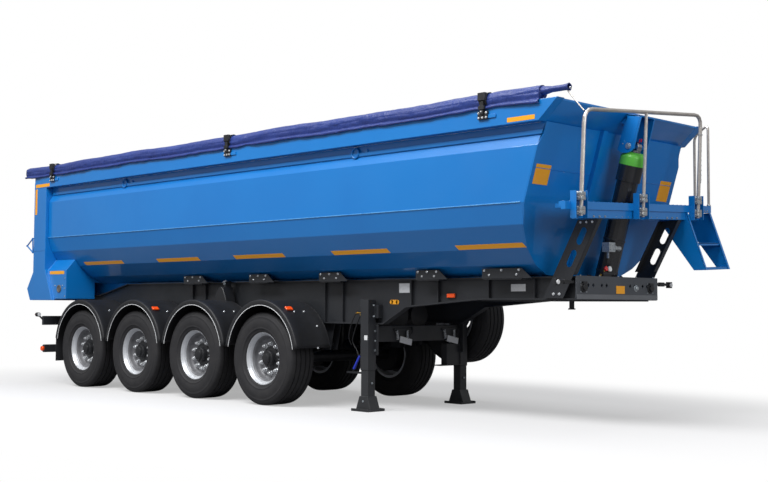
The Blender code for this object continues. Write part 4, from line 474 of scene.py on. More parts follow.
# The dished rim from the outer flange's rolled edge through the drop to the inner flange and back
RIM_LINE = [
    (0.2985, 0.15), (0.3, 0.1455), (0.2985, 0.141), (0.294, 0.139), (0.287, 0.1385), (0.2861, 0.134),
    (0.2861, -0.134), (0.2985, -0.15), (0.27, -0.15), (0.264, -0.13), (0.264, -0.02), (0.23, 0.004),
    (0.13, 0.004), (0.13, 0.022), (0.212, 0.022), (0.224, 0.026), (0.233, 0.036), (0.24, 0.052),
    (0.244, 0.072), (0.248, 0.082), (0.256, 0.088), (0.262, 0.094), (0.265, 0.106), (0.268, 0.118),
    (0.276, 0.126), (0.282, 0.134), (0.288, 0.146), (0.293, 0.1515),
]
HUB_LINE = [
    (0, 0.118), (0.05, 0.118), (0.056, 0.115), (0.06, 0.108), (0.062, 0.092), (0.08, 0.09), (0.088, 0.085),
    (0.092, 0.076), (0.093, 0.04), (0.118, 0.036), (0.134, 0.033), (0.136, 0.0225), (0.129, 0.0225),
    (0.129, 0.003), (0.205, 0.003), (0.205, -0.213), (0, -0.213),
]
VALVE_ROUTE = ((0.245, 0, 0.05), (0.235, 0, 0.08), (0.228, 0, 0.112))


def tyre_line():
    """The whole section of a tyre, with round grooves across its tread."""
    tread = [(TYRE_OUTER - 0.016, -TREAD_HALF - 0.006), (TYRE_OUTER - 0.004, -TREAD_HALF + 0.006)]
    for centre in GROOVES_Y:
        crown = TYRE_OUTER - TREAD_CROWN * centre * centre
        tread += [(crown, centre - GROOVE_HALF - 0.002), (crown - GROOVE_DEPTH, centre - GROOVE_HALF + 0.002)]
        tread += [(crown - GROOVE_DEPTH, centre + GROOVE_HALF - 0.002), (crown, centre + GROOVE_HALF + 0.002)]
    tread += [(TYRE_OUTER - 0.004, TREAD_HALF - 0.006), (TYRE_OUTER - 0.016, TREAD_HALF + 0.006)]
    inner = [(radius, -offset) for radius, offset in reversed(TYRE_SIDE)]
    return [(BEAD, -BEAD_HALF), *inner, *tread, *TYRE_SIDE, (BEAD, BEAD_HALF)]


def build_wheel(names, body, place, driven):
    """A tyre and its rim in the nodes' places, with the valve, and with nuts and hub if it is driven on."""
    node, tyre_node = names.format("rim"), names.format("tyre")
    tyre = Shape("dressed_" + tyre_node, "tyre", body, angle=50, stands_for=tyre_node)
    tyre.turned(tyre_line(), TYRE_SEGMENTS, place, closed=True)
    rim = Shape("dressed_" + node, "rim", body, angle=40, stands_for=node)
    rim.turned(RIM_LINE, RIM_SEGMENTS, place, closed=True)
    made = rim.make()
    made.data.materials.append(FINISH["disc"])
    # Faces of the inner disc, within the reach and on the outer side, take the painted shade grey
    for face in made.data.polygons:
        away = face.center - place.translation
        along = (place.to_3x3().transposed() @ away).z
        face.material_index = 1 if hypot(away.x, away.z) < SHADED_DISC_REACH and along > 0.0 else 0
    stem = Shape("valve_" + node, "zinc", body)
    stem.tube(smooth_route([place @ Vector(p) for p in VALVE_ROUTE]), 0.0045, 10)
    if not driven:
        return
    nuts = Shape("nuts_" + node, "nut", body, angle=30)
    for angle in turns(10, 0.5):
        base = Vector((NUT_CIRCLE * cos(angle), NUT_CIRCLE * sin(angle), NUT_SEAT))
        for height, radius, sides, tip in NUT_STEPS:
            nuts.rod(place @ base, place @ (base + Vector((0, 0, height))), radius, sides, tip)
    hub = Shape("hub_" + node, "black", body, angle=30)
    hub.turned(HUB_LINE, 60, place)
    for angle in turns(8):
        base = Vector((HUB_BOLT_CIRCLE * cos(angle), HUB_BOLT_CIRCLE * sin(angle), HUB_BOLT_SEAT))
        hub.rod(place @ base, place @ (base + Vector((0, 0, 0.006))), 0.007, 6)


def wheel_frame(x, y, z, side):
    """A place whose +Z is the wheel's axis, outwards on its side."""
    return Matrix.Translation((x, y, z)) @ Matrix.Rotation(radians(-90 * side), 4, "X")


def build_wheels():
    for side, word in SIDES:
        for number, x in enumerate(AXLES_X, 1):
            place = wheel_frame(x, side * WHEEL_Y, HUB_Z, side)
            build_wheel(f"{{}}_{word}_{number}", f"wheel_{word}_{number}", place, True)
    low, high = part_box("spare_tyre")
    build_wheel("spare_{}", "chassis", wheel_frame(*((low + high) / 2), 1), False)


# Mudguards

GUARD_CENTRE_Z = 0.55
GUARD_SHIFT_X = 0.05
GUARD_OUTER = 0.65
GUARD_END_Z = 0.665
GUARD_DROP = asin((GUARD_END_Z - GUARD_CENTRE_Z) / GUARD_OUTER)
GUARD_SPARE_START = radians(46.5)
GUARD_INNER_BAND_Y = 0.845
GUARD_WEB_Y = 0.754
GUSSET_INSET = 0.02
FLAP_Y = (0.768, 1.246)
FLAP_Z = (0.342, 0.69)
BRACKET_Y = (0.6505, 0.752)
BRACKET_DROP = 0.083
ARCH_STEPS = 40
GUSSET_REACH = 0.655
# Across one guard from its inner edge to its deep rolled side lip, as (radius change, y)
GUARD_SECTION = [
    (-0.03, 0.764), (-0.0035, 0.764), (-0.0035, 0.86), (-0.006, 0.87), (-0.006, 1.15), (-0.0035, 1.16),
    (-0.0035, 1.232), (-0.0045, 1.246), (-0.009, 1.2535), (-0.016, 1.256), (-0.056, 1.256), (-0.061, 1.253),
    (-0.061, 1.246),
]
GUARD_EDGE = [(-0.06, 1.2562), (-0.06, 1.2592), (-0.0665, 1.2592), (-0.0665, 1.2562), (-0.06, 1.2562)]
GUARD_WEB = [(-0.004, GUARD_WEB_Y), (-0.11, GUARD_WEB_Y)]


def arch_point(axle, change, y, angle):
    radius = GUARD_OUTER + change
    return axle + GUARD_SHIFT_X + radius * cos(angle), y, GUARD_CENTRE_Z + radius * sin(angle)


def add_arch(shape, axle, line, side, start=GUARD_DROP):
    """Sweeps (radius change, y) points along the guard's arch as one open strip of faces."""
    angles = [start + (pi - GUARD_DROP - start) * step / ARCH_STEPS for step in range(ARCH_STEPS + 1)]
    shape.loft([[arch_point(axle, dr, side * y, angle) for dr, y in line] for angle in angles], False, False)


def add_web_gusset(shape, middle, side):
    """The three-cornered sheet between two arches."""
    points = [
        arch_point(x, -GUSSET_INSET, side * (GUARD_WEB_Y + 0.002), radians(start + 30 * step / 8))
        for x, start in ((middle - GUSSET_REACH, 10.5), (middle + GUSSET_REACH, 139.5)) for step in range(9)
    ]
    shape.form.faces.new([shape.form.verts.new(p) for p in points])


def build_mudguards():
    """Arched sheets with a white line round each side lip. The left front one stops short of the spare tyre."""
    inner_band = [p for p in GUARD_SECTION if p[1] < GUARD_INNER_BAND_Y] + [(-0.0035, GUARD_INNER_BAND_Y)]
    for side, word in SIDES:
        node = f"mudguards_{word}"
        guard = Shape(f"guard_arches_{word}", "plastic", angle=50, solid=0.005, stands_for=node)
        edge = Shape(f"guard_edge_{word}", "white", angle=50)
        web = Shape(f"guard_web_{word}", "plastic", solid=0.008)
        for number, axle in enumerate(AXLES_X):
            cut_short = side > 0 and number == 0
            start = GUARD_SPARE_START if cut_short else GUARD_DROP
            add_arch(guard, axle, GUARD_SECTION, side, start)
            if cut_short:
                add_arch(guard, axle, inner_band, side)
            add_arch(edge, axle, GUARD_EDGE, side, start)
            add_arch(web, axle, GUARD_WEB, side)
        for first, second in zip(AXLES_X, AXLES_X[1:]):
            add_web_gusset(web, (first + second) / 2, side)
        build_guard_brackets(side, word)


def build_guard_brackets(side, word):
    """Brackets to the rails, bolts on the webs, and the rear flap with its row of bolts."""
    flap = Shape(f"guard_flap_{word}", "plastic", bevel=0.002)
    bracket = Shape(f"guard_bracket_{word}", "dark", bevel=0.003)
    bolts = Shape(f"guard_bolts_{word}", "zinc")
    out = (0, side, 0)
    low = GUARD_CENTRE_Z + GUARD_OUTER - BRACKET_DROP
    for number, axle in enumerate(AXLES_X):
        x = axle + GUARD_SHIFT_X
        bracket.box((x - 0.035, side * BRACKET_Y[0], low), (x + 0.035, side * BRACKET_Y[1], low + 0.05))
        for dx in (-0.2, 0.2):
            z = GUARD_CENTRE_Z + sqrt((GUARD_OUTER - 0.055) ** 2 - dx * dx)
            bolts.bolt((x + dx, side * 0.76, z), out, 0.008)
        if number < len(AXLES_X) - 1:
            for dx, z in ((-0.655, 0.86), (-0.62, 0.8), (-0.69, 0.8)):
                bolts.bolt((x + dx, side * 0.761, z), out, 0.008)
    rear = AXLES_X[-1] + GUARD_SHIFT_X - GUARD_OUTER * cos(GUARD_DROP)
    flap.box((rear + 0.002, side * FLAP_Y[0], FLAP_Z[0]), (rear + 0.01, side * FLAP_Y[1], FLAP_Z[1]))
    for step in range(5):
        bolts.bolt((rear + 0.002, side * (0.8 + 0.1 * step), 0.675), (-1, 0, 0), 0.007)


# Rolled cover

ROLL_Y = -1.2
ROLL_Z = 3.0703
ROLL_RADIUS = 0.069
ROLL_CORE = 0.016
ROLL_TURNS = 9
ROLL_START = 200
ROLL_REAR_X = -4.95
ROLL_FRONT_X = 4.515
ROLL_STEPS = 340
ROLL_SHRINK = 0.04
FOLD_DEPTH = 0.08
CREASE_DEPTH = 0.9
CREASE_WIDTH = 0.12
PINCH_REACH = 0.1
PINCH_DEPTH = 0.09
NECK_RADIUS = 0.052
NECK_TAPER = 0.026
NECK_REAR_X = ROLL_FRONT_X - 0.06
NECK_FRONT_X = 4.808
NECK_STEPS = 25
CLAMPS_X = (-4.17, -0.07, 3.86)
HEM = [
    (-0.07, -0.025), (-0.066, -0.043), (-0.059, -0.058), (-0.0555, -0.07), (-0.06, -0.0775),
    (-0.072, -0.0785), (-0.08, -0.085), (-0.082, -0.095), (-0.077, -0.105), (-0.068, -0.108), (-0.06, -0.104),
    (-0.0565, -0.096),
]
STRAP_LINE = [
    (-1.262, 3.02), (-1.279, 3.06), (-1.272, 3.104), (-1.246, 3.134), (-1.205, 3.146), (-1.168, 3.138),
    (-1.171, 3.132), (-1.206, 3.139), (-1.242, 3.128), (-1.265, 3.101), (-1.272, 3.06), (-1.256, 3.024),
]
# Arm, catch, block on the roll and foot of a strap, as half width, y and z from, y and z to
STRAP_BLOCKS = [
    (0.02, -1.29, 2.93, -1.262, 3.05), (0.036, -1.296, 2.975, -1.272, 3.01),
    (0.044, -1.292, 3.062, -1.258, 3.136), (0.06, -1.272, 2.884, -1.2505, 2.962),
]
CRANK_ROUTE = [(4.78, ROLL_Y, 3.062), (4.8, ROLL_Y, 3.034), (4.87, ROLL_Y, 2.952), (4.962, ROLL_Y, 2.85)]


def roll_line():
    """Across the cover: its spiral from the core outwards, then the strip that hangs to the folded hem."""
    line = []
    for turn in range(ROLL_TURNS):
        steps = 8 if turn < ROLL_TURNS - 2 else 30
        for step in range(steps):
            share = (turn + step / steps) / ROLL_TURNS
            angle = -2 * pi * share * ROLL_TURNS + radians(ROLL_START)
            radius = ROLL_CORE + (ROLL_RADIUS - ROLL_CORE) * share
            line.append((radius * cos(angle), radius * sin(angle), radius / ROLL_RADIUS))
    for step in range(7):
        angle = radians(ROLL_START - 10 * step / 6)
        line.append((ROLL_RADIUS * cos(angle) - 0.001, ROLL_RADIUS * sin(angle), 1.0))
    return line + [(y, z, 1.0) for y, z in HEM]


def cloth_folds(x, angle):
    """How far the cloth stands out at a place on the roll: soft folds of three sizes, less sharp creases."""
    folds = noise.noise(Vector((x * 2.1 + angle * 0.9, angle * 1.3, 4.2)))
    folds += 0.6 * noise.noise(Vector((x * 5.5 - angle * 1.7, angle * 2.1, 9.1)))
    folds += 0.5 * noise.noise(Vector((x * 9.0 + angle * 4.0, angle * 2.1, 1.7)))
    crease = abs(noise.noise(Vector((x * 2.7 + angle * 1.9, angle * 0.8, 6.6))))
    return folds - CREASE_DEPTH * max(0.0, CREASE_WIDTH - crease) / CREASE_WIDTH


def build_tarp():
    """The gathered cover on its core, its narrow front end and the crank rod that hangs from it."""
    line = roll_line()
    rows = []
    for step in range(ROLL_STEPS + 1):
        x = ROLL_REAR_X + (ROLL_FRONT_X - ROLL_REAR_X) * step / ROLL_STEPS
        pinch = max(exp(-((x - clamp) / PINCH_REACH) ** 2) for clamp in CLAMPS_X)
        sag = (0.006 * sin(x * 1.9) - 0.004 * sin(x * 4.3 + 1)) * (1 - pinch)
        row = []
        for y, z, share in line:
            swell = 1 + share * (FOLD_DEPTH * cloth_folds(x, atan2(z, y)) - PINCH_DEPTH * pinch - ROLL_SHRINK)
            row.append((x, ROLL_Y + y * swell, ROLL_Z + z * swell + sag * share))
        rows.append(row)
    shape = Shape("tarp_cover", "tarp", "bed", angle=70, solid=0.0012, stands_for="tarp_roll")
    shape.loft(rows, False, False)
    made = shape.make()
    core = Shape("tarp_core", "steel", "bed")
    turn = Matrix.Translation((0, ROLL_Y, ROLL_Z)) @ Matrix.Rotation(radians(90), 4, "Y")
    core.turned([(0, -4.945), (0.013, -4.945), (0.013, 4.815), (0.0105, 4.825), (0, 4.825)], 24, turn)
    rows = []
    for step in range(NECK_STEPS + 1):
        x = NECK_REAR_X + (NECK_FRONT_X - NECK_REAR_X) * step / NECK_STEPS
        flare = 0.003 * max(0, step - 23)
        row = []
        for angle in turns(22):
            folds = noise.noise(Vector((x * 9 + angle, angle * 1.4, 2.2)))
            radius = NECK_RADIUS - NECK_TAPER * min(step / 12, 1) ** 0.8 + 0.007 * folds + flare
            row.append((x, ROLL_Y + radius * cos(angle), ROLL_Z + 0.01 + radius * sin(angle)))
        rows.append(row)
    neck = Shape("tarp_neck", "tarp", "bed", angle=70, solid=0.002)
    neck.loft(rows, caps=False)
    neck.make()
    Shape("tarp_crank_rod", "aluminium", "bed").tube(smooth_route(CRANK_ROUTE), 0.0065, 10)


def build_tarp_clamps():
    """Three black straps over the roll, each with its arm and a bolted foot on the rail, and a blue lug."""
    strap = Shape("tarp_straps", "black", "bed", bevel=0.002)
    lug = Shape("tarp_lugs", "blue", "bed", bevel=0.003)
    bolts = Shape("tarp_lug_bolts", "nut", "bed")
    for x in CLAMPS_X:
        strap.prism([(0, y, z) for y, z in STRAP_LINE], (x - 0.045, 0, 0), (x + 0.045, 0, 0))
        for half, y0, z0, y1, z1 in STRAP_BLOCKS:
            strap.box((x - half, y0, z0), (x + half, y1, z1))
        lug.box((x + 0.05, -1.262, 2.89), (x + 0.15, -1.25, 2.925))
        for dx in (-0.046, 0.0, 0.046):
            for z in (2.9, 2.944):
                bolts.bolt((x + dx, -1.272, z), (0, -1, 0), 0.009)
        bolts.bolt((x, -1.29, 2.955), (0, -1, 0), 0.007)


# Reflex tape and small parts on the bed

TAPE_START = 0.0002
TAPE_LIFT = 0.0012
TAPE_SLANT = 0.03
TAPE_SPANS_X = ((-3.668, -2.662), (-1.872, -0.932), (-0.245, 0.702), (1.497, 2.39), (3.304, 4.172))
RAIL_TAPE_Y = 1.2502
PORTAL_Y = 1.2002
# Strips on upright faces, as y, x from and to, z from and to
SIDE_TAPES = (
    (RAIL_TAPE_Y, 4.14, 4.46, 2.826, 2.868), (RAIL_TAPE_Y, -4.665, -4.27, 2.822, 2.868),
    (RAIL_TAPE_Y, -4.67, -4.615, 2.43, 2.8), (PORTAL_Y, -4.3, -3.9, 1.56, 1.605),
)
FRONT_PLATES = ((-1.15, -0.93, 2.255, 2.435), (0.93, 1.13, 2.235, 2.44))
HOOK_Y = 1.2
HOOK_CORNERS = [(-4.985, 1.991), (-4.822, 2.094), (-4.812, 1.888)]
EYES_X = (-2.43, 2.02)
EYE_Z = 2.752
RAIL_FOOT_Y = 1.15
WALL_SEAM_Z = 2.4
CREASE_Y = 1.2
CREASE_Z = 2.09
PORTAL_CAP_LINE = [(0, 0.004), (0.034, 0.004), (0.04, 0.012), (0.052, 0.012), (0.056, 0), (0, -0.004)]
PORTAL_BOLTS = ((-4.15, 1.4), (-3.94, 1.4), (-3.875, 1.5), (-3.875, 1.36), (-3.875, 1.25))


def add_tape(shape, corners, side=-1):
    """A thin strip of tape, given its corners as seen on the right side."""
    corners = [Vector(c) for c in (corners if side < 0 else reversed(corners))]
    up = (corners[1] - corners[0]).cross(corners[3] - corners[0]).normalized()
    shape.prism(corners, up * TAPE_START, up * TAPE_LIFT)


def build_tape():
    """Slanted strips on the trough's fold, strips on the rails and the portal, and the front wall's plates."""
    for side, word in SIDES:
        shape = Shape(f"reflex_tape_{word}", "tape", "bed")
        foot, head = Vector((0, side * 1.0, 1.68)), Vector((0, side * 1.14, 1.89))
        rise = (head - foot).normalized()
        low, high = [foot + rise * reach + Vector((0, side * 0.0008, -0.0005)) for reach in (0.006, 0.058)]
        for start, end in TAPE_SPANS_X:
            along = ((start + TAPE_SLANT, low), (end, low), (end - TAPE_SLANT, high), (start, high))
            add_tape(shape, [(x, place.y, place.z) for x, place in along], side)
        for y, x0, x1, z0, z1 in SIDE_TAPES:
            add_tape(shape, [(x, side * y, z) for x, z in ((x0, z0), (x1, z0), (x1, z1), (x0, z1))], side)
    plates = Shape("front_wall_plates", "tape", "bed")
    for y0, y1, z0, z1 in FRONT_PLATES:
        add_tape(plates, [(wall_x(z) + 0.0008, y, z) for y, z in ((y0, z0), (y1, z0), (y1, z1), (y0, z1))])


def build_tail_hooks():
    """A three-cornered ring at each side of the tailgate."""
    for side, word in SIDES:
        ring = Shape(f"tail_hook_{word}", "blue", "tailgate")
        for (x0, z0), (x1, z1) in zip(HOOK_CORNERS, HOOK_CORNERS[1:] + HOOK_CORNERS[:1]):
            ring.rod((x0, side * HOOK_Y, z0), (x1, side * HOOK_Y, z1), 0.01, 12)
            ring.rod((x0, side * (HOOK_Y - 0.012), z0), (x0, side * (HOOK_Y + 0.012), z0), 0.011, 12)


def build_bed_details():
    """Weld lines, the trough's beads, lashing eyes, and the bolts and cap on the portal's foot."""
    seam = Shape("weld_seams", "blue", "bed", angle=80)
    # The beads' pale blue is a painted highlight along the crease
    beads = Shape("trough_beads", "bead", "bed", angle=80)
    x = wall_x(WALL_SEAM_Z) + 0.001
    for side, word in SIDES:
        ends = sorted((side * 0.315, side * 1.185))
        seam.tube([(x, y, WALL_SEAM_Z) for y in ends], 0.004, 8)
        seam.tube([(end, side * 1.2505, 1.905) for end in (-4.69, -4.37)], 0.004, 8)
        beads.tube([(end, side * CREASE_Y, CREASE_Z) for end in (-4.36, 4.25)], 0.006, 10)
        eyes = Shape(f"lashing_eyes_{word}", "blue", "bed", angle=40)
        wall = side * RAIL_FOOT_Y
        for eye in EYES_X:
            eyes.stub((eye, wall, EYE_Z), (0, side * 0.012, 0), 0.04, 28)
            section = [(0.05 + 0.01 * cos(a), 0.01 * sin(a)) for a in turns(8)]
            eyes.turned(section, 36, aim((eye, wall + side * 0.02, EYE_Z - 0.012), (0, side, 0)), closed=True)
            eyes.box((eye - 0.012, wall, 2.782), (eye + 0.012, wall + side * 0.034, 2.8))
            eyes.stub((eye + 0.16, wall, EYE_Z), (0, side * 0.016, 0), 0.022)
        cap = Shape(f"portal_cap_{word}", "grey", "bed", angle=40)
        cap.turned(PORTAL_CAP_LINE, 36, aim((-4.03, side * PORTAL_Y, 1.355), (0, side, 0)))
        bolts = Shape(f"portal_bolts_{word}", "zinc", "bed")
        for bolt_x, bolt_z in PORTAL_BOLTS:
            bolts.bolt((bolt_x, side * PORTAL_Y, bolt_z), (0, side, 0), 0.008)


# Chassis fittings

GUIDES_X = ((-1.57, -1.18), (-0.22, 0.13), (1.05, 1.4), (2.56, 2.88), (3.46, 3.95))
GUIDE_FACE_Y = 0.8052
GUARD_LAMPS = ((0.555, 0.913, 1.134), (-2.065, -1.687, 1.158))
GUARD_BAND_BOLTS = (
    (0.555, 0.954, 1.088), (0.555, 0.952, 0.942), (0.555, 1.1, 0.874), (0.555, 1.195, 0.94),
    (-0.755, -0.346, 1.078), (-0.755, -0.346, 0.93), (-2.065, -1.645, 1.0), (-3.375, -2.96, 1.04),
)
UNDERRUN_X = -4.475
UNDERRUN_Z = 0.5
STALK_Y = 1.238
STALK_RISE = 0.085
RAIL_FACE_Y = 0.6502
OVAL_ENDS_X = (2.055, 2.145)
MARKER_BARS = (
    (4.462, 0.69, 1.352, 4.484, 0.965, 1.378), (4.456, 0.77, 1.344, 4.49, 0.85, 1.386),
    (4.454, 0.93, 1.33, 4.492, 0.99, 1.392),
)
SOCKETS_Y = (-0.579, 0.552)
SOCKET_Z = 1.318
SOCKET_LINE = [(0, 0.03), (0.03, 0.03), (0.033, 0.026), (0.033, 0.012), (0.046, 0.01), (0.05, 0), (0, 0)]
SMALL_SOCKET_LINE = [
    (0, 0.022), (0.017, 0.022), (0.021, 0.018), (0.021, 0.006), (0.032, 0.004), (0.034, 0), (0, 0),
]


def build_guide_bolts():
    """Three bright bolts along each guide's upper edge and one below each end."""
    for side, word in SIDES:
        shape = Shape(f"guide_bolts_{word}", "nut")
        for start, end in GUIDES_X:
            for x in (start + 0.03, (start + end) / 2, end - 0.03):
                shape.bolt((x, side * GUIDE_FACE_Y, 1.485), (0, side, 0), 0.01)
            for x in (start + 0.09, end - 0.06):
                shape.bolt((x, side * GUIDE_FACE_Y, 1.44), (0, side, 0), 0.009)


def add_lamp(lens, base, middle, direction, length, height):
    """A small lens on a thin base plate, both turned to face a direction."""
    middle, up = Vector(middle), Vector(direction).normalized()
    side = Vector((0, 0, 1)).cross(up).normalized()
    turn = Matrix((side, up.cross(side).normalized(), up)).transposed().to_4x4()
    for target, size, depth in ((base, 1.12, 0.006), (lens, 1.0, 0.022)):
        half = Vector((length * size, height * size, depth)) / 2
        centre = middle + up * depth / 2
        target.box(centre - half, centre + half, turn)


def band_place(centre, x, y, side):
    """A place on a guard's outer band and the direction that it faces."""
    away = x - centre
    rise = sqrt(GUARD_OUTER * GUARD_OUTER - away * away)
    return Vector((x, side * y, GUARD_CENTRE_Z + rise)), Vector((away, 0, rise)).normalized()


def build_marker_lamps():
    """Orange side lamps with bright bolts on the guards' bands, and one pair of lamps on the rails."""
    lens = Shape("side_lamp_lenses", "orange", bevel=0.006, segments=3)
    base = Shape("side_lamp_bases", "black", bevel=0.002)
    bolts = Shape("guard_band_bolts", "nut")
    for side, _ in SIDES:
        for spot in GUARD_LAMPS:
            add_lamp(lens, base, *band_place(*spot, side), 0.088, 0.056)
        for spot in GUARD_BAND_BOLTS:
            bolts.bolt(*band_place(*spot, side), 0.01)
        add_lamp(lens, base, (2.924, side * 0.651, 1.242), (0, side, 0), 0.105, 0.042)


def build_rear_lights():
    """Lamp clusters on the bar, end lamps on the underrun bar, two stalk markers and a bare plate."""
    low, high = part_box("lamp_bar")
    rear, middle = low.x, (low.z + high.z) / 2
    housing = Shape("rear_lamp_housings", "black", bevel=0.004)
    red, orange, white = [Shape(f"rear_{key}_lenses", key, bevel=0.004) for key in ("red", "orange", "white")]
    plate = Shape("rear_bare_plate", "white", bevel=0.002)
    plate.box((rear - 0.006, -0.26, middle - 0.056), (rear - 0.0005, 0.26, middle + 0.056))
    for side, _ in SIDES:
        housing.box((rear - 0.03, side * 0.66, middle - 0.055), (rear + 0.001, side * 1.1, middle + 0.055))
        for lens, y0, y1 in ((orange, 0.98, 1.09), (red, 0.82, 0.97), (white, 0.67, 0.81)):
            lens.box((rear - 0.04, side * y0, middle - 0.046), (rear - 0.028, side * y1, middle + 0.046))
        y, z = side * STALK_Y, middle + STALK_RISE
        stalk = [(0.01, side * 1.16, 0), (-0.005, side * 1.2, 0.05), (-0.01, y, 0.08)]
        housing.tube(smooth_route([(rear + dx, stalk_y, middle + dz) for dx, stalk_y, dz in stalk]), 0.012, 10)
        ends = ((housing, -0.045, 0.03, 0.03), (white, 0.028, 0.04, 0.026), (red, -0.056, -0.043, 0.026))
        for target, x0, x1, radius in ends:
            target.rod((rear + x0, y, z), (rear + x1, y, z), radius)
        housing.box(
            (UNDERRUN_X - 0.027, side * 1.17, UNDERRUN_Z - 0.045),
            (UNDERRUN_X + 0.027, side * 1.188, UNDERRUN_Z + 0.045),
        )
        orange.stub((UNDERRUN_X, side * 1.186, UNDERRUN_Z), (0, side * 0.03, 0), 0.034, 24)


def build_frame_fittings():
    """Bare plates on the frame and its front, two sockets and a small one with their bolts."""
    white = Shape("frame_bare_plates", "white", bevel=0.0006)
    white.box((2.17, -0.6525, 1.275), (2.325, -RAIL_FACE_Y, 1.375))
    white.box((3.7, -0.6525, 1.282), (3.88, -RAIL_FACE_Y, 1.352))
    badge = Shape("oval_plate", "tape")
    for x in OVAL_ENDS_X:
        badge.rod((x, -RAIL_FACE_Y, 1.176), (x, -0.653, 1.176), 0.024, 24)
    badge.box((OVAL_ENDS_X[0], -0.653, 1.152), (OVAL_ENDS_X[1], -RAIL_FACE_Y, 1.2))
    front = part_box("front_crossmember")[1].x
    Shape("front_square_plate", "tape", bevel=0.0006).box(
        (front + 0.0002, -0.045, 1.262), (front + 0.003, 0.1, 1.338)
    )
    # A thin plate just proud of the face, in the paler grey: painted light on the sloping lower face
    Shape("front_lower_strip", "painted_light_strip", bevel=0.0006).box(
        (front + 0.0002, -0.688, 1.206), (front + 0.0016, 0.688, 1.252)
    )
    dark = Shape("front_sockets", "black")
    zinc = Shape("front_bolts", "zinc")
    face = front + 0.0003
    for y in SOCKETS_Y:
        dark.turned(SOCKET_LINE, 32, aim((face, y, SOCKET_Z), (1, 0, 0)))
        dark.box((face, y - 0.03, 1.346), (front + 0.024, y + 0.03, 1.372))
        for dz in (-0.045, 0.045):
            for dy in (-0.045, 0.045):
                zinc.bolt((front, y + dy, SOCKET_Z + dz), (1, 0, 0), 0.006)
    zinc.turned(SMALL_SOCKET_LINE, 28, aim((face, 0.3, SOCKET_Z), (1, 0, 0)))
    for y in (-0.62, -0.31, 0.0, 0.31, 0.62):
        zinc.bolt((front - 0.006, y, 1.4253), (0, 0, 1), 0.007)


def build_front_markers():
    """Short bar markers that stick out at the front crossmember's two ends."""
    bar = Shape("front_marker_bars", "black", bevel=0.002)
    lamp = Shape("front_marker_lenses", "white", bevel=0.003)
    for side, _ in SIDES:
        for x0, y0, z0, x1, y1, z1 in MARKER_BARS:
            bar.box((x0, side * y0, z0), (x1, side * y1, z1))
        lamp.rod((4.492, side * 0.96, 1.361), (4.504, side * 0.96, 1.361), 0.022, 24)


# Landing legs, air fittings and chock

TAG_LEAN = radians(-12)
LEG_X = 1.8
LEG_FACE_Y = 0.7503
LEG_RIM = [(1.665, 0.017), (1.672, 0.029), (1.93, 0.029), (1.936, 0.017)]
SPRING_SETS_Y = (-0.36, 0.42)
SPRING_TURNS = 8
SPRING_STEPS = SPRING_TURNS * 12
HOSE_ROUTES = (
    [(1.665, -0.73, 1.035), (1.64, -0.735, 1.0), (1.56, -0.725, 0.86), (1.5, -0.7, 0.74),
     (1.56, -0.69, 0.64), (1.59, -0.69, 0.56), (1.54, -0.68, 0.5)],
    [(1.6, -0.728, 1.055), (1.56, -0.732, 1.02), (1.48, -0.715, 0.9), (1.43, -0.69, 0.78),
     (1.44, -0.66, 0.7)],
    [(1.69, -0.73, 1.075), (1.72, -0.725, 1.0), (1.73, -0.71, 0.9), (1.715, -0.69, 0.8)],
)
CHOCK_LINE = [
    (-0.13, 0.0), (0.13, 0.0), (0.112, 0.055), (0.058, 0.17), (0.016, 0.205), (-0.036, 0.185),
    (-0.084, 0.118), (-0.112, 0.05),
]


def add_coil(shape, start, end, radius, wire):
    start, end = Vector(start), Vector(end)
    along = end - start
    side = along.orthogonal().normalized()
    other = along.normalized().cross(side)
    points = []
    for share in [step / SPRING_STEPS for step in range(SPRING_STEPS + 1)]:
        angle = 2 * pi * SPRING_TURNS * share
        points.append(start + along * share + radius * (side * cos(angle) + other * sin(angle)))
    shape.tube(points, wire, 6)


def build_landing_details():
    """Bolted leg plates, feet pins and rims, and the crossbeam's hooks with springs and bare tags."""
    zinc = Shape("landing_bolts_and_springs", "zinc")
    dark = Shape("landing_plates", "dark", bevel=0.002)
    # The springs take the whiter nut finish: painted glints on zinc wire
    springs = Shape("crossbeam_springs", "nut")
    tags = Shape("crossbeam_bare_tags", "white", bevel=0.001)
    for side, _ in SIDES:
        y = side * LEG_FACE_Y
        places = [(1.86, side * 0.706, z) for z in (0.65, 0.755, 0.86)] + [(1.86, y, 0.3)]
        zinc.bolts(places, (1, 0, 0), 0.01)
        zinc.bolt((LEG_X, y + side * 0.066, 0.105), (0, side, 0), 0.012)
        places = [(LEG_X + dx, side * 0.7603, z) for dx in (-0.0945, 0.0945) for z in (1.14, 1.02)]
        zinc.bolts(places, (0, side, 0), 0.009)
        dark.box((1.7, side * 0.6905, 0.6), (1.9, side * 0.7, 0.93))
        for rim_y in (y - 0.127, y + 0.115):
            dark.plate(LEG_RIM, rim_y, rim_y + 0.012)
    for y in SPRING_SETS_Y:
        add_coil(springs, (1.85, y, 0.865), (1.85, y + 0.02, 0.765), 0.014, 0.0036)
        add_coil(springs, (1.85, y + 0.17, 0.865), (1.85, y + 0.17, 0.765), 0.012, 0.0036)
        lever = [(1.842, y + 0.25, 0.9), (1.86, y + 0.24, 0.85), (1.852, y + 0.2, 0.79)]
        dark.tube(smooth_route(lever), 0.007, 8)
        dark.box((1.83, y - 0.03, 0.86), (1.846, y + 0.28, 0.885))
        tags.box((1.852, y + 0.045, 0.712), (1.858, y + 0.235, 0.782), Matrix.Rotation(TAG_LEAN, 4, "X"))


